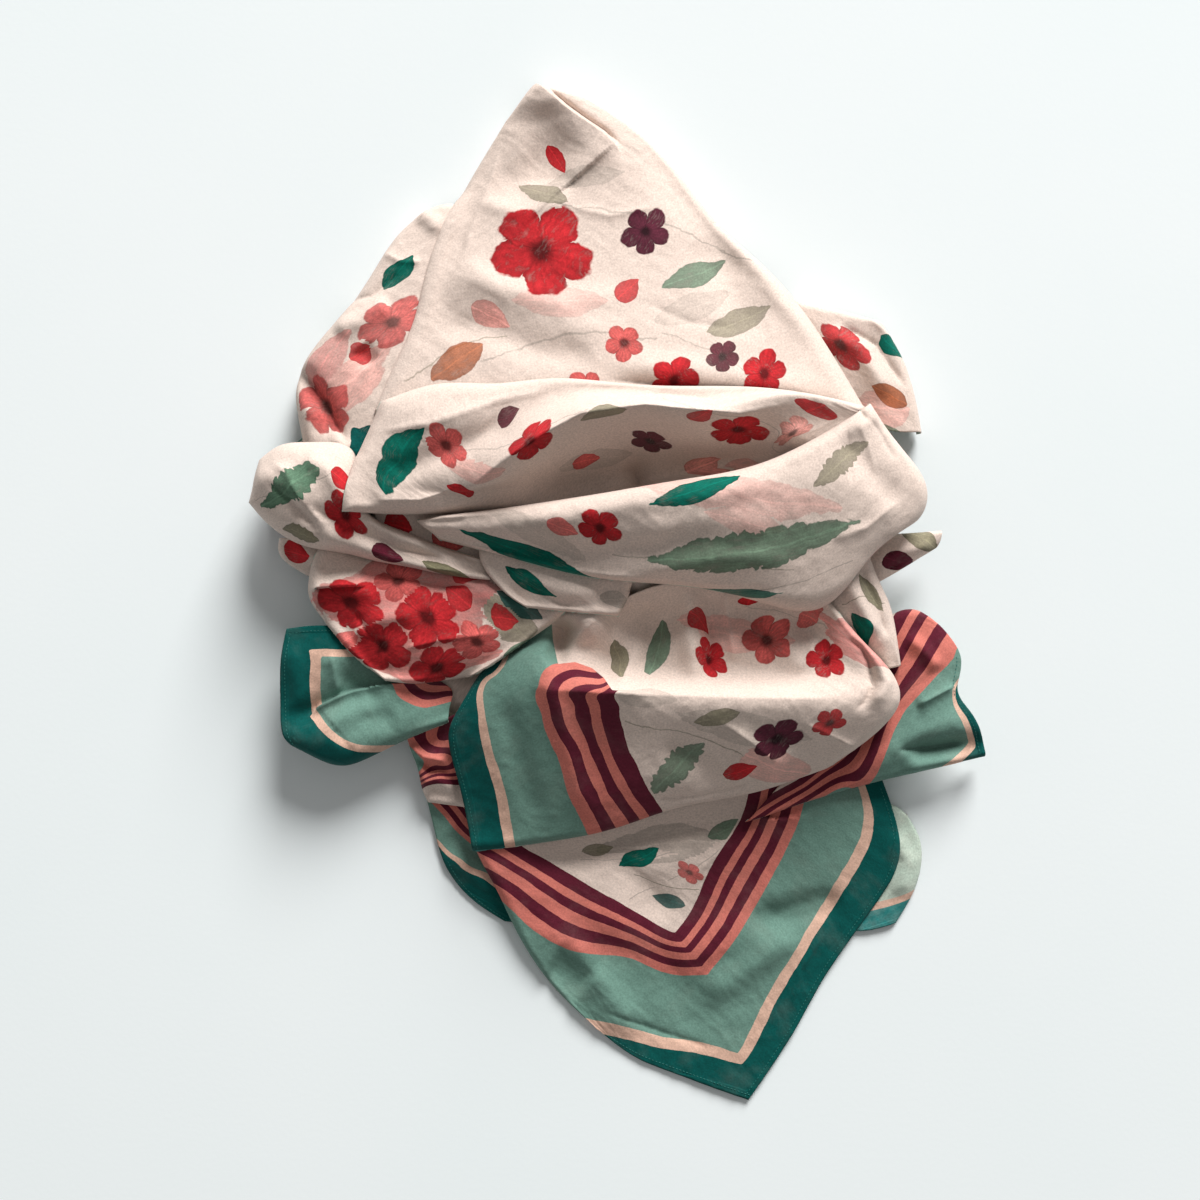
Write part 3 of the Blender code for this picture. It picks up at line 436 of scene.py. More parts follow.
# The printed border.  Its lines are named by their distance from the cloth's edge in millimetres:
# x and y on the plan, then the distance from the hem on one side and from the hem round the corner.  Where
# only one hem is near, its table has the places for each distance.
FAR = 400
BORDERED = dict(
    front_corner=[(748, 1100, 0, 0), (742, 1065, 20, 20), (738, 1054, 27, 27), (708, 975, 67, 67),
                  (675, 933, 114, 114), (778, 1064, 0, 31), (807, 1008, 0, 73), (838, 952, 0, 115),
                  (870, 912, 0, 149), (890, 876, 0, 177), (902, 827, 0, 210), (892, 796, 0, 232),
                  (885, 783, 0, 242), (797, 949, 27, 103), (843, 871, 27, 165), (863, 801, 27, 225),
                  (752, 912, 67, 118), (783, 856, 67, 160), (801, 813, 67, 191), (696, 902, 114, 139),
                  (711, 867, 114, 164), (742, 817, 114, 203), (711, 1087, 26, 1), (674, 1074, 51, 4),
                  (638, 1064, 76, 7), (614, 1042, 98, 17), (592, 1024, 122, 25), (664, 1038, 78, 27),
                  (633, 959, 118, 67), (577, 952, 155, 67), (528, 926, 192, 67), (503, 902, 215, 67),
                  (618, 902, 157, 114),
                  (571, 875, 193, 114), (528, 850, 226, 114)],
    front_cup={0: [(484, 668), (452, 719), (449, 735), (461, 783), (473, 851)], 20: [(485, 677), (478, 716),
               (484, 754), (495, 793), (504, 844)], 27: [(493, 677), (485, 716), (493, 754), (505, 793),
               (514, 844)], 48: [(528, 640)], 52: [(536, 620)], 67: [(536, 690), (542, 716), (556, 754), (568, 793),
               (584, 826), (538, 688), (541, 676), (546, 668), (560, 663)], 68: [(578, 663)], 72: [(594, 670)],
               75: [(548, 704), (551, 718), (569, 754), (581, 793), (546, 692)], 76: [(558, 676)], 77: [(576, 671)],
               82: [(592, 677)], 83: [(560, 704), (563, 718), (581, 754), (597, 793), (558, 692)], 88: [(602, 682)],
               91: [(573, 704), (575, 718), (590, 754), (607, 793), (568, 693)], 98: [(588, 704), (591, 718),
               (603, 754), (622, 793), (586, 694)], 104: [(599, 704), (601, 718), (612, 754), (632, 793),
               (598, 694)], 114: [(618, 704), (620, 718), (630, 754), (650, 793), (615, 692), (663, 813)],
               124: [(640, 704), (652, 754)], 190: [(700, 700)], 250: [(760, 760)], 330: [(860, 700)]},
    right_lobe=[(991, 752, 0, 0), (976, 747, 20, 20), (956, 688, 20, 52), (968, 680, 8, 60),
                (982, 720, 3, 24), (966, 716, 20, 36), (958, 647, 90, 67), (933, 680, 100, 67),
                (906, 710, 130, 67), (894, 731, 150, 67), (855, 790, 180, 67), (801, 811, 220, 67),
                (899, 612, 180, 112), (860, 700, 190, 112), (800, 780, 240, 112), (954, 763, 44, 24),
                (900, 776, 130, 45), (850, 792, 170, 60), (925, 722, 80, 55)],
    left_corner=[(282, 627, 0, 0), (282, 650, 0, 20), (281, 690, 0, 60), (281, 725, 0, 90), (308, 649, 20, 20),
                 (320, 656, 27, 27), (309, 680, 20, 50), (320, 680, 27, 50), (312, 712, 20, 80),
                 (322, 712, 27, 80), (330, 627, 40, 0), (345, 649, 50, 20), (352, 656, 54, 27), (360, 627, 55, 0),
                 (345, 690, 44, 58), (370, 664, 58, 36), (404, 684, 62, 56)],
    left_under={0: [(470, 899), (507, 920)], 20: [(446, 855), (461, 868), (484, 880)], 27: [(439, 841), (462, 860),
                (486, 873)], 63: [(437, 812)], 67: [(455, 830), (474, 846)], 86: [(474, 832)], 90: [(460, 812)]},
    left_ruffle={56: [(415, 768)], 68: [(420, 756)], 70: [(407, 738), (445, 762)], 84: [(430, 724)],
                 92: [(440, 740)], 96: [(455, 712)], 98: [(440, 776)], 112: [(425, 786)], 116: [(460, 786)],
                 140: [(440, 800)]},
    turned_corner={0: [(865, 934), (901, 921)], 6: [(918, 905)], 20: [(868, 912), (912, 898)], 62: [(880, 860)],
                   70: [(915, 840)]})

# Where a fold of the same stretch lies over it: a line on the plan, and the border's anchors on its left.
# With None the stretch's own anchors are for the left, and there is no border on the right.
OVERLAPS = dict(
    left_corner=([(470, 681), (404, 682), (380, 684), (352, 690), (335, 698), (318, 706), (306, 722)],
                 {0: [(282, 737), (293, 750), (316, 759), (343, 767)], 5: [(357, 765)], 18: [(382, 754)],
                  20: [(308, 714), (324, 734), (357, 752)], 27: [(316, 710), (329, 728), (359, 745), (384, 746)],
                  32: [(404, 740)], 42: [(430, 726)], 46: [(350, 715)], 57: [(455, 708)], 67: [(393, 684),
                  (396, 693), (411, 704), (425, 708), (446, 703)], 75: [(403, 683), (411, 693), (428, 700),
                  (450, 696)], 92: [(430, 684)], 104: [(470, 684)]}),
    front_cup=([(700, 694), (640, 693), (612, 690), (604, 678), (592, 668), (575, 662), (558, 664), (553, 640),
                (550, 600)], None))
BORDER = ((0, "sea"), (20, "shell"), (27, "sage"), (67, "salmon"), (75, "wine"), (83, "salmon"),
          (91, "wine"), (98, "salmon"), (104, "wine"), (114, "cream"))
BORDER_REACH = 130               # the border's colours are looked up on a scale this long, millimetres
BORDER_WANDER = 2.0              # how far its lines wander, millimetres
FIELD_START = (1.5, 2.0)         # millimetres past the border where the print comes in
PLATE_SLACK = 4.0                # how loosely the border's surface is held to its anchors

# Hems that show: first column, last column or last row of the stretch, and the share of it that is sewn.
HEMS = dict(
    front_corner=[("last column", 0.03, 1.0), ("last row", 0.16, 1.0)],
    front_cup=[("first column", 0.1, 1.0)],
    left_corner=[("first column", 0.04, 1.0), ("first row", 0.02, 0.6)],
    left_under=[("first column", 0.45, 1.0)], right_lobe=[("last column", 0.3, 0.9)])

# Colours, sRGB, 0 to 255.
INKS = dict(
    cream=(219, 201, 190), sea=(0, 80, 76), shell=(216, 178, 158), sage=(108, 143, 131),
    salmon=(206, 119, 107), wine=(92, 28, 45), red=(190, 40, 46), rose=(212, 98, 94),
    blush=(232, 160, 150), plum=(92, 38, 54), green=(92, 122, 100), moss=(120, 116, 92),
    rust=(164, 88, 46), pine=(0, 96, 82), ash=(168, 158, 148), mint=(184, 201, 187), lake=(46, 128, 126))

# The floral print: kind, ink, strength, two points on the plan, half its width in millimetres.  A leaf,
# petal, lobed leaf or stem runs from the first point to the second; a bloom is round, with the first point
# in its middle and a petal towards the second.  One wide grey leaf on the front corner is partly painted shade.
LEAF, PETAL, BLOOM, LOBED, STEM = range(5)
MOTIF_REACH = 1.15               # how far out a motif still claims the cloth, in half widths
WANDER = (0.34, 0.42)            # how far its outline wanders along and across
LEAF_POWER = 0.8                 # how blunt a leaf is
PETAL_POWER, PETAL_WIDTH = 0.6, 2.75
PETALS = 5                       # of a bloom
BLOOM_MIDDLE, BLOOM_PETAL, BLOOM_POWER = 0.6, 0.36, 0.5   # reach between petals, petals' length, bluntness
LOBES, LOBE_DEPTH = 9, 0.24
STEM_SWAY, STEM_HALF = 0.9, 0.085
SHADES = dict(edge=0.22, heart=0.75, between=0.5, foot=0.2)   # how much darker a motif is there
FANS, FAN_WANDER = 24.0, 9.0     # fine lines round a bloom
VEINS, VEIN_SLANT = 46.0, -9.0   # and across the others
VEIN_SHARE, LINE_DEPTH = 0.5, 0.09
RIB_LIGHT = 0.35
BRUSH = (2.6, 9.0, 3.1)          # brush strokes along and across a motif, and for each kind
UNDERPRINT = dict(
    peak=[(STEM, "ash", 0.55, 740, 250, 570, 200, 12), (STEM, "ash", 0.5, 650, 330, 490, 350, 14),
          (LEAF, "ash", 0.4, 625, 172, 542, 186, 8), (LEAF, "blush", 0.35, 610, 300, 510, 300, 12),
          (STEM, "moss", 0.5, 520, 330, 410, 372, 10), (LEAF, "ash", 0.3, 730, 292, 654, 320, 10),
          (STEM, "ash", 0.5, 770, 392, 670, 330, 9)],
    upper_swag=[(STEM, "ash", 0.55, 816, 470, 676, 400, 8), (STEM, "ash", 0.5, 576, 410, 406, 430, 8),
                (LEAF, "blush", 0.6, 796, 500, 726, 478, 8), (LEAF, "blush", 0.5, 506, 470, 436, 452, 9),
                (LEAF, "ash", 0.35, 636, 452, 556, 470, 10)],
    front_roll=[(STEM, "ash", 0.6, 844, 560, 704, 590, 8), (LEAF, "blush", 0.4, 844, 508, 624, 470, 14),
                (LEAF, "ash", 0.35, 584, 560, 484, 510, 12), (STEM, "moss", 0.5, 784, 566, 624, 552, 6),
                (LEAF, "blush", 0.35, 784, 530, 704, 512, 9)],
    left_panel=[(LEAF, "red", 0.6, 514, 598, 274, 616, 34), (LEAF, "rose", 0.66, 504, 652, 324, 654, 25),
                (LEAF, "moss", 0.7, 542, 660, 484, 592, 17)],
    front_cup=[(STEM, "ash", 0.5, 856, 650, 756, 604, 8), (LEAF, "rose", 0.6, 890, 668, 808, 612, 15),
               (LEAF, "blush", 0.5, 796, 640, 676, 620, 12), (LEAF, "ash", 0.4, 816, 740, 676, 712, 13),
               (LEAF, "blush", 0.55, 816, 780, 736, 750, 16), (STEM, "moss", 0.6, 756, 760, 636, 720, 8),
               (LEAF, "ash", 0.35, 676, 700, 606, 690, 9)],
    # On the front corner the wide ash leaf along the foot of the cup is a grey veil, partly the print's grey and
    # partly painted shade cast by the cup; the stems are print.
    front_corner=[(STEM, "ash", 0.6, 590, 862, 700, 850, 5), (STEM, "ash", 0.6, 640, 896, 740, 836, 5),
                  (LEAF, "ash", 0.6, 600, 850, 730, 840, 14), (STEM, "moss", 0.8, 640, 878, 706, 892, 5)],
    left_pouch=[(STEM, "ash", 0.6, 262, 500, 340, 476, 6), (LEAF, "ash", 0.4, 380, 548, 450, 572, 8)],
    back_left=[(LEAF, "blush", 0.6, 400, 340, 320, 420, 16), (LEAF, "rose", 0.5, 350, 330, 310, 400, 14)],
    back_right=[(LEAF, "blush", 0.5, 850, 400, 910, 410, 14)],
    right_inner=[(STEM, "moss", 0.7, 880, 600, 846, 600, 6)])
PRINT = dict(
    peak=[(BLOOM, "red", 1, 540, 252, 566, 216, 36), (BLOOM, "plum", 1, 646, 232, 658, 216, 18),
          (LEAF, "green", 0.85, 724, 262, 662, 288, 9), (LEAF, "moss", 0.7, 772, 306, 704, 332, 9),
          (PETAL, "red", 1, 548, 146, 566, 174, 6), (LEAF, "moss", 0.7, 520, 186, 566, 202, 8),
          (BLOOM, "red", 1, 764, 374, 752, 366, 17), (BLOOM, "wine", 0.95, 722, 356, 714, 346, 12),
          (BLOOM, "red", 1, 676, 378, 664, 370, 17), (BLOOM, "rose", 1, 624, 344, 616, 334, 14),
          (BLOOM, "rose", 1, 586, 388, 578, 380, 13), (LEAF, "rust", 0.85, 432, 380, 486, 344, 11),
          (PETAL, "blush", 0.9, 470, 306, 510, 326, 10), (PETAL, "red", 0.9, 618, 300, 640, 278, 8),
          (LOBED, "green", 0.55, 500, 392, 420, 398, 6)],
    upper_swag=[(LEAF, "pine", 1, 384, 494, 424, 430, 9), (BLOOM, "rose", 1, 446, 446, 456, 436, 15),
                (PETAL, "red", 1, 474, 492, 446, 484, 9), (PETAL, "wine", 0.95, 498, 420, 520, 408, 8),
                (BLOOM, "red", 1, 530, 440, 542, 428, 18), (PETAL, "rose", 1, 572, 466, 600, 456, 8),
                (LEAF, "moss", 0.8, 582, 420, 630, 410, 7), (BLOOM, "wine", 0.95, 652, 440, 662, 430, 14),
                (PETAL, "blush", 1, 686, 470, 722, 458, 10), (BLOOM, "red", 1, 738, 430, 750, 418, 20),
                (BLOOM, "blush", 0.9, 792, 434, 800, 424, 13), (PETAL, "red", 0.9, 690, 420, 712, 410, 6),
                (PETAL, "red", 0.95, 806, 412, 824, 404, 7)],
    front_roll=[(LOBED, "green", 0.9, 858, 520, 640, 560, 15), (LEAF, "pine", 1, 452, 528, 610, 578, 8),
                (LEAF, "pine", 1, 650, 506, 744, 474, 8), (BLOOM, "red", 1, 600, 528, 612, 518, 15),
                (PETAL, "rose", 0.9, 548, 522, 578, 534, 8), (LOBED, "moss", 0.75, 812, 486, 868, 440, 8),
                (PETAL, "wine", 0.9, 770, 466, 800, 452, 8), (PETAL, "red", 0.9, 862, 566, 890, 540, 8),
                (LEAF, "pine", 0.9, 700, 598, 780, 594, 6)],
    left_pouch=[(LOBED, "green", 1, 262, 506, 320, 466, 13), (BLOOM, "red", 1, 346, 514, 356, 504, 17),
                (LEAF, "moss", 0.9, 282, 530, 320, 540, 8), (PETAL, "wine", 1, 372, 548, 404, 560, 8),
                (LEAF, "moss", 1, 420, 562, 474, 576, 7), (PETAL, "red", 1, 332, 470, 352, 486, 8)],
    back_left=[(BLOOM, "rose", 0.95, 330, 408, 340, 394, 24), (BLOOM, "rose", 0.9, 392, 322, 402, 308, 22),
               (LEAF, "pine", 1, 412, 256, 384, 290, 9), (LEAF, "moss", 0.8, 352, 300, 330, 336, 9),
               (PETAL, "red", 0.9, 350, 360, 372, 346, 11), (LEAF, "sea", 1, 352, 452, 376, 426, 8)],
    left_panel=[(BLOOM, "red", 1, 352, 602, 366, 592, 24), (BLOOM, "rose", 1, 398, 580, 410, 572, 17),
                (BLOOM, "red", 1, 382, 646, 394, 636, 24), (BLOOM, "red", 1, 428, 618, 440, 608, 24),
                (BLOOM, "red", 1, 438, 668, 448, 660, 20), (BLOOM, "rose", 1, 478, 642, 488, 634, 17),
                (PETAL, "red", 0.95, 470, 606, 446, 588, 10), (PETAL, "red", 0.95, 490, 616, 520, 622, 10),
                (PETAL, "rose", 0.9, 340, 644, 356, 632, 9), (LEAF, "sea", 0.9, 544, 620, 498, 590, 9),
                (LEAF, "green", 0.9, 500, 660, 534, 640, 8), (PETAL, "red", 0.9, 452, 572, 480, 578, 8)],
    under_petal=[(LEAF, "ash", 0.6, 600, 600, 640, 604, 6), (LEAF, "pine", 1, 506, 566, 556, 596, 7)],
    recess=[(PETAL, "red", 1, 384, 522, 414, 532, 12), (PETAL, "rose", 1, 432, 532, 466, 546, 12)],
    tucked_edge=[(PETAL, "red", 1, 284, 550, 312, 556, 9), (BLOOM, "wine", 1, 328, 562, 336, 556, 11)],
    front_cup=[(LEAF, "moss", 0.9, 614, 640, 622, 678, 6), (LEAF, "green", 0.9, 662, 618, 650, 676, 8),
               (PETAL, "red", 0.95, 690, 612, 708, 634, 9), (BLOOM, "red", 1, 708, 660, 716, 650, 14),
               (BLOOM, "rose", 1, 768, 640, 778, 630, 18), (BLOOM, "red", 1, 826, 660, 834, 652, 15),
               (PETAL, "rose", 0.9, 800, 612, 816, 626, 8), (PETAL, "red", 1, 748, 606, 756, 590, 8),
               (LOBED, "green", 0.85, 650, 796, 704, 742, 12), (BLOOM, "plum", 1, 776, 738, 786, 726, 18),
               (PETAL, "red", 1, 724, 776, 758, 766, 9), (LEAF, "moss", 0.8, 740, 712, 696, 722, 6),
               (BLOOM, "red", 0.95, 830, 722, 838, 714, 12)],
    front_corner=[(LEAF, "pine", 1, 618, 866, 660, 848, 6), (BLOOM, "rose", 0.9, 690, 872, 698, 862, 9),
                  (LEAF, "green", 0.9, 706, 838, 750, 822, 6), (LEAF, "sea", 0.9, 652, 896, 686, 906, 5),
                  (LEAF, "moss", 0.8, 580, 852, 614, 846, 5)],
    right_inner=[(LEAF, "moss", 0.9, 860, 574, 884, 610, 7), (LEAF, "pine", 1, 850, 612, 868, 646, 7)],
    right_wing=[(PETAL, "wine", 1, 884, 558, 914, 562, 8), (LEAF, "moss", 0.9, 902, 536, 936, 548, 8)],
    back_right=[(BLOOM, "red", 0.95, 842, 346, 852, 334, 20), (LEAF, "rust", 0.9, 908, 404, 872, 386, 9),
                (LEAF, "green", 0.8, 862, 430, 900, 432, 7), (LEAF, "pine", 1, 880, 336, 904, 358, 7)],
    left_ruffle=[(LEAF, "green", 0.9, 426, 782, 452, 772, 5)])

# Noise in the materials: scale, detail, roughness.
NOISE = dict(drift=(58.0, 3.0, 0.6), wash=(32.0, 5.0, 0.62), patches=(220.0, 3.0, 0.6), slubs=(720.0, 3.0, 0.7),
             rumple=(120.0, 4.0, 0.55), brush=(1.6, 4.0, 0.62), pools=(70.0, 3.0, 0.55), faded=(60.0, 4.0, 0.6),
             twist=(2400.0, 2.0), mottle=(3.0, 4.0), grit=(300.0, 3.0))
# Values that are turned into others in a straight line: from, to, and what they become there.
RAMPS = dict(
    inside=(-0.01, -0.06), edge=(-0.28, -0.04), heart=(0.14, 0.3, 1.0, 0.0), between=(0.0, 0.3, 1.0, 0.0),
    foot=(0.35, 0.0), rib=(0.02, 0.08, 1.0, 0.0), wash=(0.72, 1.28, 0.66, 1.28), thin=(0.66, 0.9, 0.86, 1.0),
    ash=(0.5, 0.8, 0.0, 0.12), faded=(0.4, 0.8, 0.0, 0.25), patches=(0.3, 0.7, 0.96, 1.03),
    slubs=(0.3, 0.7, 0.80, 1.16), halves=(0.3, 0.7), cloth_rough=(0.2, 0.8, 0.74, 0.9),
    thread_rough=(0.2, 0.8, 0.55, 0.75), floor_rough=(0.3, 0.7, 0.85, 0.95))
# Relief in the materials: distance and strength.
RELIEF = dict(rumple=(0.6 * MM, 0.5), grain=(0.1 * MM, 0.6), hem=(0.35 * MM, 0.8), floor=(0.1 * MM, 0.3))
HEM_SOFT = 0.4                   # half the width of the turned hem's step, millimetres
WEAVE_SHARE, SLUB_SHARE = 0.35, 3.0

# The weave, the sheen, the thread, the floor, the light and the camera.
THREADS = (0.62 * MM, 0.55 * MM)   # pitch of the weave, both ways
SHINE = {"Specular IOR Level": 0.12, "Sheen Weight": 0.08, "Sheen Roughness": 0.45}
STITCH_INKS = ((16, 92, 86), (40, 124, 116))
FLOOR_INKS = ((234, 242, 244), (238, 244, 246))
FLOOR_SIZE, FLOOR_DROP, FLOOR_SHINE = 40, 0.2 * MM, 0.1
WINDOW_PLACE, WINDOW_SIZE = (3.3, 10.2, 5.4), 6.0
WINDOW_POWER, WINDOW_COLOUR = 2500, (1.0, 0.985, 0.965)
WORLD_STRENGTH, WORLD_COLOUR = 0.27, (1.0, 0.98, 0.96, 1)
SENSOR = 36

# The hidden layers, millimetres on the surface, anticlockwise from the point under the peak.
CORE_OUTLINE = [(-40, 306), (-70, 282), (-86, 250), (-116, 236), (-146, 202), (-174, 166), (-188, 138),
                (-192, 112), (-212, 92), (-214, 64), (-200, 38), (-180, 8), (-158, -20), (-128, -46),
                (-106, -78), (-96, -112), (-80, -148), (-44, -156), (0, -148), (60, -134), (118, -118),
                (162, -92), (182, -60), (180, -16), (184, 24), (194, 68), (188, 110), (172, 148),
                (148, 172), (112, 190), (70, 226), (30, 266), (-4, 294)]
CORE_MIDDLE = (-10, 60)
CORE_POINTS = 420
CORE_RINGS = (0.985, 0.97, 0.94, 0.9, 0.86, 0.8, 0.74, 0.66, 0.58, 0.5, 0.4, 0.3, 0.2, 0.1)
CORE_LAYERS = 5                  # folded layers at its edge
LAYER_PROFILE = tuple((0.5 - 0.48 * math.cos(k * math.pi / 8), 4.2 * (1 - math.sin(k * math.pi / 8)))
                      for k in range(9))     # (height share, inset mm) round each layer
LAYER_WOBBLE = 2.6 * MM          # how far a layer's edge wanders
LAYER_WAVES = ((1.0, 3, 2, 1.7), (0.4, 17, 6, 1.0))   # share, waves round, more for each layer, turn for each
LAYER_BORDER = (60, 62, 2.1, 3)  # border on the layers: middle and swing in mm, turn for each layer, waves round
CORE_SLACK = 1.0 * MM            # how far the core's top stays below the shells
CORE_LOWEST = 4 * MM
CORE_TURN = 220 * MM             # cloth for each radian round the core
CORE_STEP = 2 * MM               # and for each ring
CORE_FILL = 12                   # rows between two rings when it is put on the map of heights


def natural_spline(knots, values, at):
    """The values at new places of a smooth curve through `values` at `knots`."""
    count = len(knots)
    step = np.diff(knots)
    matrix = np.eye(count)
    right = np.zeros(values.shape)
    slope = np.diff(values, axis=0) / step.reshape((-1,) + (1,) * (values.ndim - 1))
    for i in range(1, count - 1):
        matrix[i, i - 1:i + 2] = step[i - 1], 2 * (step[i - 1] + step[i]), step[i]
        right[i] = 6 * (slope[i] - slope[i - 1])
    bend = np.linalg.solve(matrix, right.reshape(count, -1)).reshape(values.shape)
    k = np.clip(np.searchsorted(knots, at, side="right") - 1, 0, count - 2)
    shape = (-1,) + (1,) * (values.ndim - 1)
    h = step[k].reshape(shape)
    b = (at - knots[k]).reshape(shape) / h
    a = 1 - b
    curve = (a ** 3 - a) * bend[k] + (b ** 3 - b) * bend[k + 1]
    return a * values[k] + b * values[k + 1] + curve * h ** 2 / 6


def sizes_of(vectors):
    """The length of each vector."""
    return np.linalg.norm(vectors, axis=-1)


def placed(net):
    """Net points in metres, moved in towards the middle as they get nearer to the eye."""
    points = np.array(net, float) * MM
    points[..., :2] *= 1 - points[..., 2:] / EYE_HEIGHT
    return points


def knots_of(points):
    """Mean distances along the first axis of a net."""
    steps = sizes_of(np.diff(points, axis=0)).mean(axis=1)
    return np.concatenate([[0], np.cumsum(steps)])


def turned(edge):
    """The rows round a folded edge: how far each is from the fold, and how far it sinks."""
    radius, drop = edge[0] * MM, edge[1] * MM
    count = max(6, round(0.25 * math.pi * (radius + drop) / PITCH))
    angle = np.linspace(-TUCK, math.pi / 2, count)[:-1]
    return radius * (1 - np.cos(angle)), drop * (1 - np.where(angle < 0, TUCK_SHARE, 1) * np.sin(angle))


def stops(length, first, last):
    """Places along a length, how far each sinks at a folded end, and whether it is turned under."""
    start = first[0] * MM if first else 0.0
    end = length - (last[0] * MM if last else 0.0)
    even = np.linspace(start, end, max(4, round((end - start) / PITCH)) + 1)
    places, sinks, under = [even], [even * 0], [np.zeros(len(even), bool)]
    if first:
        away, sink = turned(first)
        places, sinks = [away] + places, [sink] + sinks
        under = [sink > first[1] * MM] + under
    if last:
        away, sink = turned(last)
        places, sinks = places + [length - away[::-1]], sinks + [sink[::-1]]
        under = under + [sink[::-1] > last[1] * MM]
    return np.concatenate(places), np.concatenate(sinks), np.concatenate(under)


def on_plan(points):
    """Where the eye sees each point, in the plan's units."""
    seen = points[..., :2] / (1 - points[..., 2:] / EYE_HEIGHT) / PLAN_UNIT
    return np.stack([PLAN_MIDDLE + seen[..., 0], PLAN_MIDDLE - seen[..., 1]], -1)


def fold_height(points, fold):
    """Height that a ridge or trough adds at each point; it fades out towards its ends and sides."""
    (x0, y0), (x1, y1), half_width, height = fold
    start, end = np.array((x0, y0)) * MM, np.array((x1, y1)) * MM
    along = end - start
    length = np.linalg.norm(along)
    along = along / length
    offset = points[..., :2] - start
    s = offset @ along / length
    across = offset[..., 0] * along[1] - offset[..., 1] * along[0]
    beyond = np.maximum(np.abs(s - 0.5) - FOLD_FLAT, 0) * length
    return height * MM * np.exp(-(across ** 2 + beyond ** 2) / (half_width * MM) ** 2)


def beside(plan, line):
    """How far each point is from a line on the plan, which side it is on, and its share of the way along."""
    line = np.array(line, float)
    spans = np.diff(line, axis=0)
    lengths = sizes_of(spans)
    total = lengths.sum()
    nearest = np.full(plan.shape[:2], np.inf)
    side, place = np.zeros(plan.shape[:2]), np.zeros(plan.shape[:2])
    done = 0.0
    for start, span, length in zip(line, spans, lengths):
        offset = plan - start
        s = np.clip(offset @ span / length ** 2, 0, 1)
        away = sizes_of(offset - s[..., None] * span)
        closer = away < nearest
        nearest = np.where(closer, away, nearest)
        side = np.where(closer, offset[..., 1] * span[0] - offset[..., 0] * span[1], side)
        place = np.where(closer, (done + s * length) / total, place)
        done += length
    return nearest, side, place


def crease_height(plan, kind, half_width, height, line):
    """Height that a crease along a line on the plan adds; it fades out towards its ends."""
    nearest, side, place = beside(plan, line)
    away = nearest * PLAN_UNIT / (half_width * MM)
    ends = np.clip(np.minimum(place, 1 - place) / CREASE_FADE, 0, 1)
    ends = ends * ends * (3 - 2 * ends)
    if kind == "soft":
        profile = np.exp(-away ** 2)
    elif kind == "keen":
        profile = np.exp(-away * KEEN_FALL)
    else:
        profile = np.where(side < 0, np.exp(-away), 0)
    return height * MM * ends * profile * CREASE_RELIEF


def crumpled(cloth, rng):
    """Small wrinkles all over, from waves whose crests wander."""
    height = np.zeros(cloth.shape[:2])
    (far, often), (far_across, often_across) = CRUMPLE_DRIFT
    for length in CRUMPLE_LENGTHS:
        for _ in range(2):
            turn, phase, bend = rng.uniform(0, 2 * np.pi, 3)
            way = np.array([math.cos(turn), math.sin(turn)]) * 2 * np.pi / (length * MM)
            drift = (far * np.sin(cloth @ way[::-1] * often + bend)
                     + far_across * np.sin(cloth @ (way * (-1, 1)) * often_across + turn))
            height += CRUMPLE * (CRUMPLE_MIDDLE - np.abs(np.sin(cloth @ way * 0.5 + phase + drift)))
    return height


def cloth_places(grid):
    """Where each point is on the flat cloth: lengths along the rows and the columns from the middle ones."""
    rows, columns = grid.shape[:2]
    across, down = sizes_of(np.diff(grid, axis=1)), sizes_of(np.diff(grid, axis=0))
    u = np.hstack([np.zeros((rows, 1)), np.cumsum(across, 1)])
    v = np.vstack([np.zeros((1, columns)), np.cumsum(down, 0)])
    return np.stack([u - u[:, columns // 2][:, None], v - v[rows // 2][None]], -1)


def lofted(name, stretch, rng):
    """The stretch's outer surface as a fine grid, and which of its points are turned under."""
    net = placed(stretch["net"])
    top, bottom, left, right = stretch["edges"]
    down, across = knots_of(net), knots_of(net.swapaxes(0, 1))
    rows, row_sink, row_under = stops(down[-1], top, bottom)
    columns, column_sink, column_under = stops(across[-1], left, right)
    grid = natural_spline(down, net, rows)
    grid = natural_spline(across, grid.swapaxes(0, 1), columns).swapaxes(0, 1)
    for fold in FOLDS.get(name, ()):
        grid[..., 2] += fold_height(grid, fold)
    plan = on_plan(grid)
    for crease in CREASES.get(name, ()):
        grid[..., 2] += crease_height(plan, *crease)
    grid[..., 2] += crumpled(cloth_places(grid), rng)
    grid[..., 2] -= np.maximum(row_sink[:, None], column_sink[None, :])
    return grid, row_under[:, None] | column_under[None, :]


def around(values):
    """The mean of each value's four neighbours."""
    padded = np.pad(values, 1, mode="edge")
    return (padded[:-2, 1:-1] + padded[2:, 1:-1] + padded[1:-1, :-2] + padded[1:-1, 2:]) / 4


def spread(layer, choose):
    """Each cell takes the highest (or lowest) of itself and its eight neighbours."""
    for axis in (0, 1):
        layer = choose(layer, choose(np.roll(layer, 1, axis), np.roll(layer, -1, axis)))
    return layer


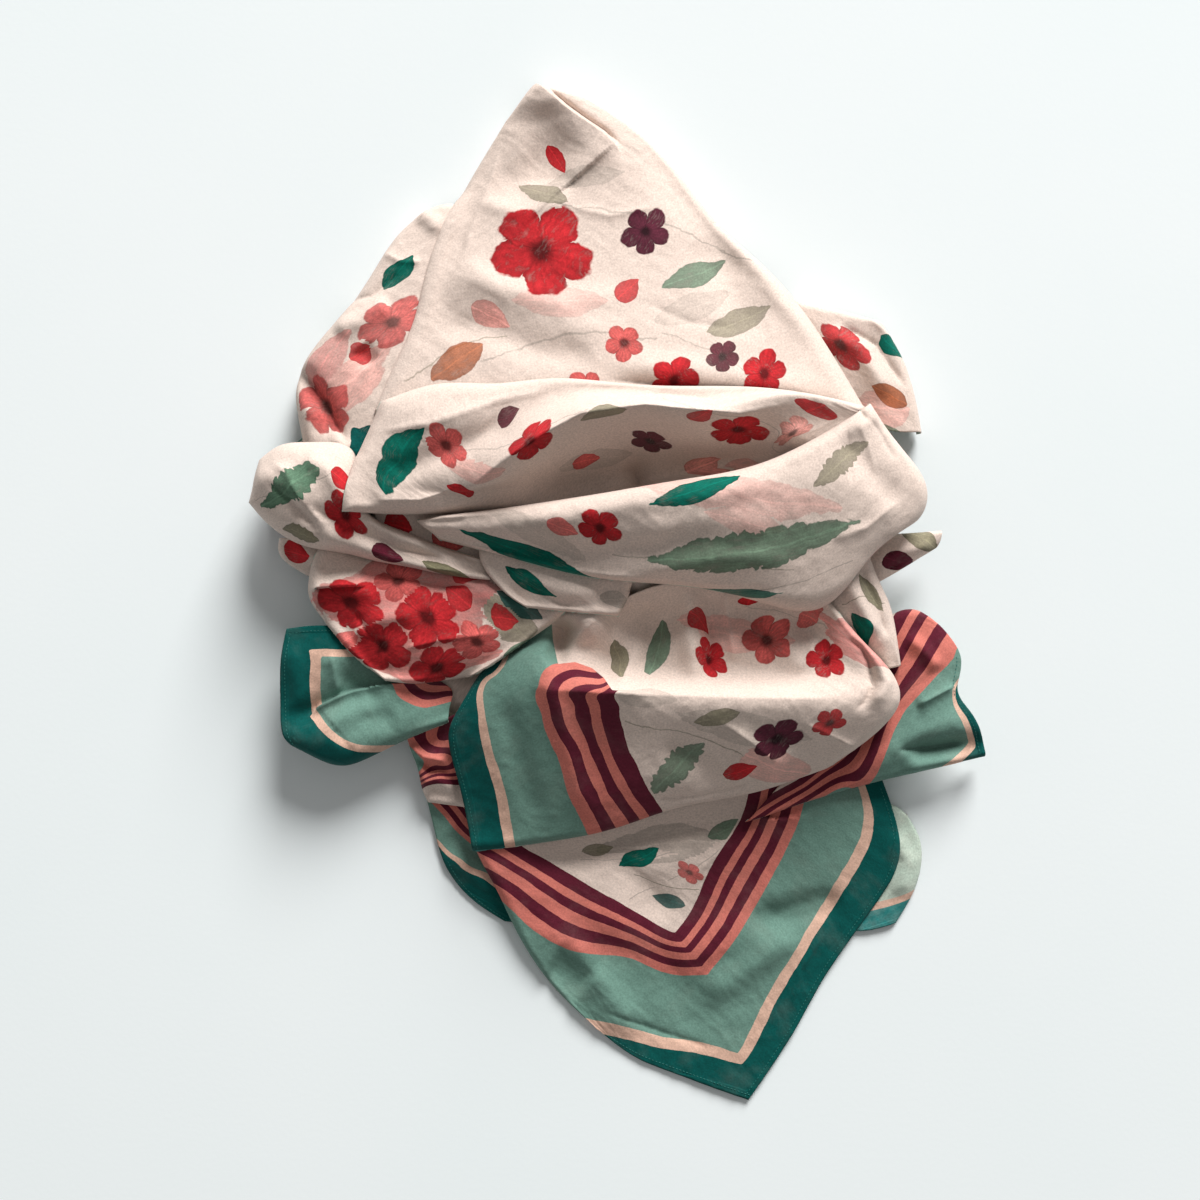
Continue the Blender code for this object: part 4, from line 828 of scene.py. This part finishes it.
class Heights:
    """A map with a height for each cell of the surface, such as how high the heap already reaches."""

    def __init__(self, start=0.0):
        count = int(2 * MAP_HALF / CELL)
        self.top = np.full((count, count), start)

    def cells(self, points):
        index = ((points[..., :2] + MAP_HALF) / CELL).astype(int)
        return index[..., 0], index[..., 1]

    def under(self, points):
        at = (points[..., :2] + MAP_HALF) / CELL - 0.5
        low = np.floor(at).astype(int)
        share = at - low
        x, y = low[..., 0], low[..., 1]
        rows = [self.top[x, y + k] * (1 - share[..., 0]) + self.top[x + 1, y + k] * share[..., 0]
                for k in (0, 1)]
        return rows[0] * (1 - share[..., 1]) + rows[1] * share[..., 1]

    def add(self, points):
        x, y = self.cells(points)
        layer = np.zeros(self.top.shape)
        np.maximum.at(layer, (x.ravel(), y.ravel()), points[..., 2].ravel())
        for _ in range(2):
            layer = spread(layer, np.maximum)
        soft = layer
        for axis in (0, 1):
            soft = (np.roll(soft, 1, axis) + soft + np.roll(soft, -1, axis)) / 3
        self.top = np.maximum(self.top, np.where(layer > 0, soft, 0))


def laid(grid, under, heights):
    """Raise the shell smoothly wherever it would cut into what is under it, or let it down onto that."""
    need = heights.under(grid) + GAP + CLOTH
    short = np.where(under, -1.0, need - grid[..., 2])
    if short.max() < 0:
        grid[..., 2] += short.max()
        short = short - short.max()
    lift = np.maximum(short, 0)
    for _ in range(SPREAD_ROUNDS):
        lift = np.maximum(np.maximum(short, 0), around(lift))
    grid[..., 2] += lift
    grid[..., 2] = np.maximum(grid[..., 2], np.where(under, need, -1.0))


def thin_plate(places, values, at):
    """A smooth surface through `values` at `places`, read at other places."""
    def bend(a, b):
        square = ((a[:, None, :] - b[None, :, :]) ** 2).sum(-1)
        return 0.5 * square * np.log(square + 1e-9)
    count = len(places)
    flat = np.column_stack([np.ones(count), places])
    matrix = np.zeros((count + 3, count + 3))
    matrix[:count, :count] = bend(places, places) + PLATE_SLACK * np.eye(count)
    matrix[:count, count:], matrix[count:, :count] = flat, flat.T
    weights = np.linalg.solve(matrix, np.concatenate([values, np.zeros(3)]))
    points = at.reshape(-1, 2)
    result = bend(points, places) @ weights[:count] + weights[count] + points @ weights[count + 1:]
    return result.reshape(at.shape[:-1])


def hem_distance(table, plan):
    """How far each point is from the cloth's edge, in millimetres, where the border shows."""
    if table is None:
        return np.full(plan.shape[:2], float(FAR))
    if isinstance(table, dict):
        table = [(x, y, away, FAR) for away, places in table.items() for x, y in places]
    table = np.array(table, float)
    nearest = thin_plate(table[:, :2], table[:, 2], plan)
    if table[:, 3].min() < FAR:
        nearest = np.minimum(nearest, thin_plate(table[:, :2], table[:, 3], plan))
    return nearest


def hem_distances(name, plan):
    """The distances from the cloth's edge, those on the fold over it, and how far outside that fold a point is."""
    if name not in OVERLAPS:
        return hem_distance(BORDERED.get(name), plan), hem_distance(None, plan), np.ones(plan.shape[:2])
    line, table = OVERLAPS[name]
    nearest, side, _ = beside(plan, line)
    tables = (BORDERED[name], table) if table else (None, BORDERED[name])
    return *(hem_distance(each, plan) for each in tables), nearest * np.sign(side)


def store(mesh, name, kind, domain, values):
    """Gives the mesh an attribute for its material to read."""
    field = {"FLOAT": "value", "FLOAT_VECTOR": "vector", "FLOAT_COLOR": "color"}[kind]
    mesh.attributes.new(name, kind, domain).data.foreach_set(field, values.astype(float).ravel())


def motif_places(rows, plan, cloth, centres):
    """For each face, which motif is nearest, and the frames of them all on the flat cloth."""
    frames = []
    best, choice = np.full(len(centres), MOTIF_REACH), np.full(len(centres), -1)
    flat_plan, flat_cloth = plan.reshape(-1, 2), cloth.reshape(-1, 2)
    for number, (kind, ink, strength, x0, y0, x1, y1, half_width) in enumerate(rows):
        start, end = (flat_cloth[((flat_plan - p) ** 2).sum(1).argmin()] for p in ((x0, y0), (x1, y1)))
        along = end - start if (end != start).any() else np.array((0.0, 2 * MM))
        length = np.linalg.norm(along)
        along = along / length
        if kind == BLOOM:
            length = half_width * MM
        frames.append((start, along / length, np.array((-along[1], along[0])) / (half_width * MM)))
        p, q = (centres - start) @ frames[-1][1], (centres - start) @ frames[-1][2]
        far = np.hypot(p, q) if kind == BLOOM else np.maximum(np.abs(q), np.abs(2 * p - 1))
        closer = far < best
        best, choice = np.where(closer, far, best), np.where(closer, number, choice)
    return frames, choice


def print_motifs(mesh, layer, rows, plan, cloth, faces):
    """Stores each face corner's place in its motif, and the motif's ink."""
    corners = cloth.reshape(-1, 2)[faces]
    frames, choice = motif_places(rows, plan, cloth, corners.mean(1))
    place = np.full(faces.shape + (3,), -1.0)
    tint = np.zeros(faces.shape + (4,))
    for number, ((start, along, across), (kind, ink, strength, *_)) in enumerate(zip(frames, rows)):
        mine = choice == number
        offset = corners[mine] - start
        place[mine] = np.stack([offset @ along, offset @ across, np.full(offset.shape[:2], float(kind))], -1)
        tint[mine] = (*linear(INKS[ink]), strength)
    store(mesh, f"{layer}_place", "FLOAT_VECTOR", "CORNER", place)
    store(mesh, f"{layer}_tint", "FLOAT_COLOR", "CORNER", tint)


def linear(colour):
    """An sRGB colour, 0 to 255, as linear shares."""
    shares = np.array(colour) / 255
    return tuple(np.where(shares <= 0.04045, shares / 12.92, ((shares + 0.055) / 1.055) ** 2.4))


class Shader:
    """A material's nodes, made one after another."""

    def __init__(self, name):
        self.material = bpy.data.materials.new(name)
        self.material.use_nodes = True
        self.tree = self.material.node_tree
        self.surface = self.tree.nodes["Principled BSDF"]

    def put(self, socket, value):
        if isinstance(value, bpy.types.NodeSocket):
            self.tree.links.new(value, socket)
        elif value is not None:
            socket.default_value = value

    def node(self, kind, inputs=(), **settings):
        made = self.tree.nodes.new(kind)
        for key, value in settings.items():
            setattr(made, key, value)
        for key, value in dict(inputs).items():
            self.put(made.inputs[key], value)
        return made

    def math(self, operation, *values):
        made = self.node("ShaderNodeMath", operation=operation)
        for socket, value in zip(made.inputs, values):
            self.put(socket, value)
        return made.outputs[0]

    def mix(self, share, a, b, blend="MIX"):
        made = self.node("ShaderNodeMix", data_type="RGBA", blend_type=blend)
        for number, value in ((0, share), (6, a), (7, b)):
            self.put(made.inputs[number], value)
        return made.outputs[2]

    def ramp(self, value, low, high, start=0.0, end=1.0):
        made = self.node("ShaderNodeMapRange")
        for socket, given in zip(made.inputs, (value, low, high, start, end)):
            self.put(socket, given)
        return made.outputs[0]

    def attribute(self, name):
        return self.node("ShaderNodeAttribute", attribute_name=name).outputs

    def split(self, vector):
        return self.node("ShaderNodeSeparateXYZ", {0: vector}).outputs

    def times(self, *values):
        product = values[0]
        for value in values[1:]:
            product = self.math("MULTIPLY", product, value)
        return product

    def toned(self, colour, tone):
        """The colour, darker or lighter by a tone."""
        grey = self.node("ShaderNodeCombineXYZ", {0: tone, 1: tone, 2: tone}).outputs[0]
        return self.mix(1.0, colour, grey, "MULTIPLY")

    def between(self, share, inks):
        """A colour from one ink to another."""
        return self.mix(share, *((*linear(ink), 1) for ink in inks))

    def finished(self, inputs):
        """The material, with these on its surface."""
        for name, value in inputs.items():
            self.put(self.surface.inputs[name], value)
        return self.material

    def noise(self, where, scale, detail=3.0, roughness=0.5):
        return self.node("ShaderNodeTexNoise", {"Vector": where, "Scale": scale, "Detail": detail,
                                                "Roughness": roughness}).outputs

    def bump(self, height, distance, strength=1.0, normal=None):
        return self.node("ShaderNodeBump", {"Height": height, "Distance": distance, "Strength": strength,
                                            "Normal": normal}).outputs[0]


def hem_at(s):
    """The distance from the cloth's edge at each place, switched at the line of a fold that lies over it."""
    on_fold = s.math("LESS_THAN", s.attribute("beyond_fold")["Fac"], 0.0)
    hem, fold_hem = (s.attribute(name)["Fac"] for name in ("hem", "fold_hem"))
    return s.math("MULTIPLY_ADD", on_fold, s.math("SUBTRACT", fold_hem, hem), hem)


def motif_ink(s, layer, where, wander):
    """How much of a motif's ink there is at each place, and its colour."""
    p, q, kind = s.split(s.attribute(f"{layer}_place")["Vector"])
    tint = s.attribute(f"{layer}_tint")
    p, q = (s.math("ADD", at, s.times(drift, reach)) for at, drift, reach in zip((p, q), wander, WANDER))
    along = s.math("MINIMUM", s.math("MAXIMUM", p, 0.0), 1.0)
    side = s.math("ABSOLUTE", q)
    arch = s.math("SINE", s.times(along, math.pi))
    lens = s.math("POWER", arch, LEAF_POWER)
    drop = s.times(s.math("POWER", along, PETAL_POWER), s.math("SUBTRACT", 1.0, along), PETAL_WIDTH)
    reach = s.math("SQRT", s.math("ADD", s.times(p, p), s.times(q, q)))
    turn = s.math("ARCTAN2", q, p)
    lobes = s.math("ABSOLUTE", s.math("COSINE", s.times(turn, PETALS / 2)))
    rim = s.math("MULTIPLY_ADD", s.math("POWER", lobes, BLOOM_POWER), BLOOM_PETAL, BLOOM_MIDDLE)
    waves = s.math("ABSOLUTE", s.math("SINE", s.times(along, LOBES * math.pi)))
    lobed = s.times(lens, s.math("MULTIPLY_ADD", waves, LOBE_DEPTH, 1 - LOBE_DEPTH))
    sway = s.math("SUBTRACT", q, s.times(s.math("SUBTRACT", arch, 0.5), STEM_SWAY))
    # how far outside the outline of its kind each place is; outside all motifs it is 1
    depth = s.math("COMPARE", kind, -1.0, 0.5)
    for number, at, outline in ((LEAF, side, lens), (PETAL, side, drop), (BLOOM, reach, rim), (LOBED, side, lobed),
                                (STEM, s.math("ABSOLUTE", sway), STEM_HALF)):
        chosen = s.math("COMPARE", kind, float(number), 0.5)
        depth = s.math("MULTIPLY_ADD", chosen, s.math("SUBTRACT", at, outline), depth)
    inside = s.ramp(depth, *RAMPS["inside"])
    is_bloom = s.math("COMPARE", kind, float(BLOOM), 0.5)
    not_bloom = s.math("SUBTRACT", 1.0, is_bloom)
    rib = s.times(s.ramp(side, *RAMPS["rib"]), not_bloom)
    fans = s.math("SINE", s.math("ADD", s.times(turn, FANS), s.times(wander[0], FAN_WANDER)))
    veins = s.math("SINE", s.math("ADD", s.times(p, VEINS), s.times(side, VEIN_SLANT)))
    lines = s.math("ADD", s.times(fans, is_bloom), s.times(veins, s.times(not_bloom, VEIN_SHARE)))
    strokes = s.node("ShaderNodeCombineXYZ", {k: s.times(at, BRUSH[k]) for k, at in enumerate((p, q, kind))})
    brushed = s.math("ADD", s.noise(strokes.outputs[0], *NOISE["brush"])[0], s.noise(where, *NOISE["pools"])[0])
    wash = s.ramp(brushed, *RAMPS["wash"])
    shade = s.times(wash, s.math("MULTIPLY_ADD", lines, LINE_DEPTH, 1.0))
    for part, at, *shares in (("edge", depth), ("heart", reach, is_bloom),
                              ("between", lobes, is_bloom, 0.5), ("foot", p)):
        dark = s.times(s.ramp(at, *RAMPS[part]), *shares)
        shade = s.times(shade, s.math("SUBTRACT", 1.0, s.times(dark, SHADES[part])))
    shade = s.math("MULTIPLY_ADD", rib, RIB_LIGHT, shade)
    strength = s.times(tint["Alpha"], s.times(inside, s.ramp(wash, *RAMPS["thin"])))
    return strength, s.toned(tint["Color"], shade)


def cloth_finish(s, colour, where, hem):
    """The cloth's weave, its turned hem, soft sheen and roughness over a colour."""
    threads = [s.math("SINE", s.times(at, 2 * math.pi / pitch)) for at, pitch in zip(s.split(where), THREADS)]
    slub = s.noise(where, *NOISE["slubs"])[0]
    grain = s.math("ADD", s.times(*threads, WEAVE_SHARE), s.times(slub, SLUB_SHARE))
    rumple = s.noise(where, *NOISE["rumple"])[0]
    step = s.ramp(hem, HEM / MM - HEM_SOFT, HEM / MM + HEM_SOFT, 1.0, 0.0)
    normal = None
    for kind, height in (("rumple", rumple), ("grain", grain), ("hem", step)):
        normal = s.bump(height, *RELIEF[kind], normal)
    return s.finished({"Base Color": s.toned(colour, s.ramp(slub, *RAMPS["slubs"])), "Normal": normal,
                       "Roughness": s.ramp(rumple, *RAMPS["cloth_rough"]), **SHINE})


def border_colour(s, distance, inks):
    """The border's colour at each distance from the cloth's edge."""
    ramp = s.node("ShaderNodeValToRGB")
    ramp.color_ramp.interpolation = "CONSTANT"
    made = ramp.color_ramp.elements
    made.remove(made[1])
    for number, (start, ink) in enumerate(BORDER):
        stop = made[0] if number == 0 else made.new(start / BORDER_REACH)
        stop.position = start / BORDER_REACH
        stop.color = (*linear(INKS[inks.get(ink, ink)]), 1)
    s.put(ramp.inputs[0], s.times(distance, 1 / BORDER_REACH))
    return ramp.outputs[0]


def print_material():
    """The right side of the cloth: border bands, a cream field with the floral print, weave and sheen."""
    s = Shader("cloth_print")
    where = s.attribute("cloth")["Vector"]
    hem = hem_at(s)
    drift = s.split(s.noise(where, *NOISE["drift"])["Color"])
    wander = [s.math("SUBTRACT", drift[k], 0.5) for k in (0, 1)]
    distance = s.math("MULTIPLY_ADD", wander[0], BORDER_WANDER, hem)
    colour = border_colour(s, distance, {})
    wash = s.noise(where, *NOISE["wash"])[0]
    colour = s.mix(s.ramp(wash, *RAMPS["ash"]), colour, (*linear(INKS["ash"]), 1))
    field = s.ramp(distance, *(BORDER[-1][0] + more for more in FIELD_START))
    for layer in ("under", "over"):
        strength, ink = motif_ink(s, layer, where, wander)
        colour = s.mix(s.times(strength, field), colour, ink)
    patchy = s.ramp(s.noise(where, *NOISE["patches"])[0], *RAMPS["patches"])
    return cloth_finish(s, s.toned(colour, patchy), where, hem)


def reverse_material():
    """The wrong side of the cloth, where the print shows through faintly."""
    s = Shader("cloth_wrong_side")
    where = s.attribute("cloth")["Vector"]
    hem = hem_at(s)
    inks = dict(sea="lake", sage="mint", salmon="mint", wine="mint", cream="mint")
    colour = border_colour(s, hem, inks)
    wash = s.noise(where, *NOISE["faded"])[0]
    colour = s.mix(s.ramp(wash, *RAMPS["faded"]), colour, (*linear(INKS["cream"]), 1))
    return cloth_finish(s, colour, where, hem)


def stitch_material():
    s = Shader("stitch_thread")
    twist = s.noise(s.node("ShaderNodeTexCoord").outputs["Object"], *NOISE["twist"])[0]
    return s.finished({"Base Color": s.between(s.ramp(twist, *RAMPS["halves"]), STITCH_INKS),
                       "Normal": s.bump(twist, *RELIEF["grain"]),
                       "Roughness": s.ramp(twist, *RAMPS["thread_rough"])})


def floor_material():
    s = Shader("pale_floor")
    where = s.node("ShaderNodeTexCoord").outputs["Object"]
    mottle = s.noise(where, *NOISE["mottle"])[0]
    return s.finished({"Base Color": s.between(s.ramp(mottle, *RAMPS["halves"]), FLOOR_INKS),
                       "Roughness": s.ramp(mottle, *RAMPS["floor_rough"]), "Specular IOR Level": FLOOR_SHINE,
                       "Normal": s.bump(s.noise(where, *NOISE["grit"])[0], *RELIEF["floor"])})


def linked(name, data):
    obj = bpy.data.objects.new(name, data)
    bpy.context.scene.collection.objects.link(obj)
    return obj


def mesh_piece(name, points, faces, material):
    mesh = bpy.data.meshes.new(name)
    mesh.from_pydata((points - (*ORIGIN, 0)).tolist(), [], faces)
    mesh.update()
    mesh.shade_smooth()
    mesh.materials.append(material)
    return linked(name, mesh)


def grid_faces(rows, columns, closed=False):
    """Quads of a grid; a closed one joins its last column to its first."""
    last = columns if closed else columns - 1
    i, j = (k.ravel() for k in np.meshgrid(np.arange(rows - 1), np.arange(last), indexing="ij"))
    here, beyond = i * columns, (i + 1) * columns
    after = (j + 1) % columns
    return np.stack([here + j, here + after, beyond + after, beyond + j], -1)


def print_cloth(mesh, name, plan, cloth, faces):
    """Gives the mesh what the cloth's material reads."""
    flat = np.concatenate([cloth.reshape(-1, 2), np.zeros((cloth.size // 2, 1))], 1)
    store(mesh, "cloth", "FLOAT_VECTOR", "POINT", flat)
    for kind, values in zip(("hem", "fold_hem", "beyond_fold"), hem_distances(name, plan)):
        store(mesh, kind, "FLOAT", "POINT", values)
    for layer, rows in (("under", UNDERPRINT.get(name, ())), ("over", PRINT.get(name, ()))):
        print_motifs(mesh, layer, rows, plan, cloth, faces)


def shell(name, grid, materials, reverse=False):
    """A stretch of cloth as a thin shell, with what its material reads."""
    rows, columns = grid.shape[:2]
    faces = grid_faces(rows, columns)
    a, b, c = (grid.reshape(-1, 3)[faces[:, k]] for k in (0, 1, 2))
    if np.cross(b - a, c - a)[:, 2].sum() < 0:
        faces = faces[:, ::-1]
    outside, inside = materials[::-1] if reverse else materials
    obj = mesh_piece(f"{name}_cloth", grid.reshape(-1, 3), faces.tolist(), outside)
    print_cloth(obj.data, name, on_plan(grid), cloth_places(grid), faces)
    obj.data.materials.append(inside)
    solid = obj.modifiers.new("cloth", "SOLIDIFY")
    solid.thickness = CLOTH
    solid.offset = -1
    solid.material_offset = 1
    return obj


def hem_path(grid, side):
    """The line of sewing along a hem, as points a little way in from its edge."""
    end, across = side.split()
    lines = grid.swapaxes(0, 1) if across == "column" else grid
    lines = lines[::-1] if end == "last" else lines
    inward = lines[HEM_INWARD] - lines[0]
    return lines[0] + inward / sizes_of(inward)[:, None] * STITCH_INSET


def stitches(name, grid, material):
    """The sewing along the stretch's hems, as short threads lying on the cloth."""
    points, faces = [], []
    ring = np.arange(STITCH_SIDES) * 2 * np.pi / STITCH_SIDES
    for side, start, end in HEMS[name]:
        path = hem_path(grid, side)
        run = np.concatenate([[0], np.cumsum(sizes_of(np.diff(path, axis=0)))])
        at = np.arange(start * run[-1], end * run[-1] - STITCH_PITCH, STITCH_PITCH)
        ends = [np.stack([np.interp(at + more, run, path[:, k]) for k in range(3)], -1)
                for more in (0.0, STITCH_LENGTH)]
        for tail, head in zip(*ends):
            way = (head - tail) / max(sizes_of(head - tail), SMALL)
            across = np.cross(way, (0, 0, 1))
            across /= max(sizes_of(across), SMALL)
            up = np.cross(across, way)
            faces += (grid_faces(len(STITCH_PROFILE), STITCH_SIDES, closed=True) + len(points)).tolist()
            for share, girth in STITCH_PROFILE:
                middle = tail + (head - tail) * share + up * STITCH_RADIUS * STITCH_RISE
                points += [middle + (across * math.cos(angle) + up * math.sin(angle)) * STITCH_RADIUS * girth
                           for angle in ring]
    return mesh_piece(f"{name}_stitches", np.array(points), faces, material)


def lowest_shells(grids):
    """For each cell of the surface, the height of the lowest shell over it."""
    lowest = Heights(1.0)
    for grid, _ in grids:
        x, y = lowest.cells(grid)
        np.minimum.at(lowest.top, (x.ravel(), y.ravel()), grid[..., 2].ravel())
    for _ in range(3):
        lowest.top = spread(lowest.top, np.minimum)
    return lowest


def heap_core(lowest, material):
    """The hidden layers: a rounded solid under the shells, with folded layers round its edge."""
    looped = np.array(CORE_OUTLINE[-3:] + CORE_OUTLINE + CORE_OUTLINE[:3], float) * MM
    knots = np.concatenate([[0], np.cumsum(sizes_of(np.diff(looped, axis=0)))])
    outline = natural_spline(knots, looped, np.linspace(knots[3], knots[-3], CORE_POINTS, endpoint=False))
    middle = np.array(CORE_MIDDLE) * MM
    outward = outline - middle
    outward /= sizes_of(outward)[:, None]
    turn = np.arange(CORE_POINTS) * 2 * np.pi / CORE_POINTS

    def top_at(plan):
        x, y = lowest.cells(plan)
        height = lowest.top[x, y]
        height = np.where(height > 0.2, CORE_LOWEST, height - CLOTH - GAP - CORE_SLACK)
        for _ in range(6):
            height = np.minimum(height, (np.roll(height, 1) + height + np.roll(height, -1)) / 3)
        return np.maximum(height, CORE_LOWEST)

    tops = []
    for share in CORE_RINGS:
        plan = middle + (outline - middle) * share
        tops.append(np.column_stack([plan, top_at(plan)]))
    rim, sides = tops[0][:, 2], []
    for layer in range(CORE_LAYERS):
        wander = -LAYER_WOBBLE
        for share, waves, more, shift in LAYER_WAVES:
            wander = wander + LAYER_WOBBLE * share * np.sin((waves + more * layer) * turn + shift * layer)
        for share, inset in LAYER_PROFILE:
            plan = outline + outward * (wander - inset * MM)[:, None]
            height = rim * (layer + share) / CORE_LAYERS
            if not sides:
                height = height * 0
            sides.append(np.column_stack([plan, height]))
    points = np.vstack(sides + tops)
    levels = len(sides) + len(tops)
    faces = grid_faces(levels, CORE_POINTS, closed=True).tolist()
    last = (levels - 1) * CORE_POINTS
    faces += [list(range(last, last + CORE_POINTS)), list(reversed(range(CORE_POINTS)))]
    obj = mesh_piece("heap_core_layers", points, faces, material)
    level, turns = np.repeat(np.arange(levels), CORE_POINTS), np.tile(turn, levels)
    store(obj.data, "cloth", "FLOAT_VECTOR", "POINT",
          np.column_stack([turns * CORE_TURN, level * CORE_STEP, level * 0]))
    mean, swing, shift, waves = LAYER_BORDER
    hem = mean + swing * np.sin(level // len(LAYER_PROFILE) * shift + waves * turns)
    hem = np.where(level < len(sides), hem, FAR)
    for kind, values in (("hem", hem), ("fold_hem", hem), ("beyond_fold", np.ones(len(hem)))):
        store(obj.data, kind, "FLOAT", "POINT", values)
    for layer in ("under", "over"):
        store(obj.data, f"{layer}_place", "FLOAT_VECTOR", "CORNER", np.full((len(obj.data.loops), 3), -1.0))
    return obj


def studio():
    """The floor, the light and the camera."""
    bpy.ops.mesh.primitive_plane_add(size=FLOOR_SIZE, location=(0, 0, -FLOOR_DROP))
    floor = bpy.context.object
    floor.name = "floor"
    floor.data.materials.append(floor_material())
    lamp = bpy.data.lights.new("window", "AREA")
    lamp.shape, lamp.size, lamp.energy, lamp.color = "DISK", WINDOW_SIZE, WINDOW_POWER, WINDOW_COLOUR
    window = linked("window", lamp)
    window.location = WINDOW_PLACE
    window.rotation_euler = (-window.location).to_track_quat("-Z", "Y").to_euler()
    world = bpy.data.worlds.new("studio")
    world.use_nodes = True
    for number, value in enumerate((WORLD_COLOUR, WORLD_STRENGTH)):
        world.node_tree.nodes["Background"].inputs[number].default_value = value
    bpy.context.scene.world = world
    bpy.context.scene.view_settings.view_transform = "Standard"
    camera = linked("camera", bpy.data.cameras.new("camera"))
    camera.location = (-ORIGIN[0], -ORIGIN[1], EYE_HEIGHT)
    camera.data.sensor_width = SENSOR
    camera.data.lens = SENSOR * EYE_HEIGHT / (PLAN_WIDTH * PLAN_UNIT)
    bpy.context.scene.camera = camera


def main():
    for obj in list(bpy.data.objects):
        bpy.data.objects.remove(obj)
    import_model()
    bpy.context.view_layer.update()
    rng = np.random.default_rng(SEED)
    grids = {name: lofted(name, stretch, rng) for name, stretch in STRETCHES.items()}
    materials = (print_material(), reverse_material())
    thread = stitch_material()
    core = heap_core(lowest_shells(grids.values()), materials[0])
    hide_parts("heap_core")
    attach(core, "root")
    heights = Heights()
    corners = np.array([v.co for v in core.data.vertices]) + (*ORIGIN, 0)
    loop = corners.reshape(-1, CORE_POINTS, 3)
    for share in np.linspace(0, 1, CORE_FILL):
        heights.add(loop[:-1] * (1 - share) + loop[1:] * share)
    for name, (grid, under) in grids.items():
        laid(grid, under, heights)
        heights.add(grid)
        obj = shell(name, grid, materials, name == "turned_corner")
        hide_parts(name)
        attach(obj, "root")
        sewn = []
        if name in HEMS:
            sewn = [stitches(name, grid, thread)]
            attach(sewn[0], "root")
    studio()
    bpy.context.view_layer.update()


main()
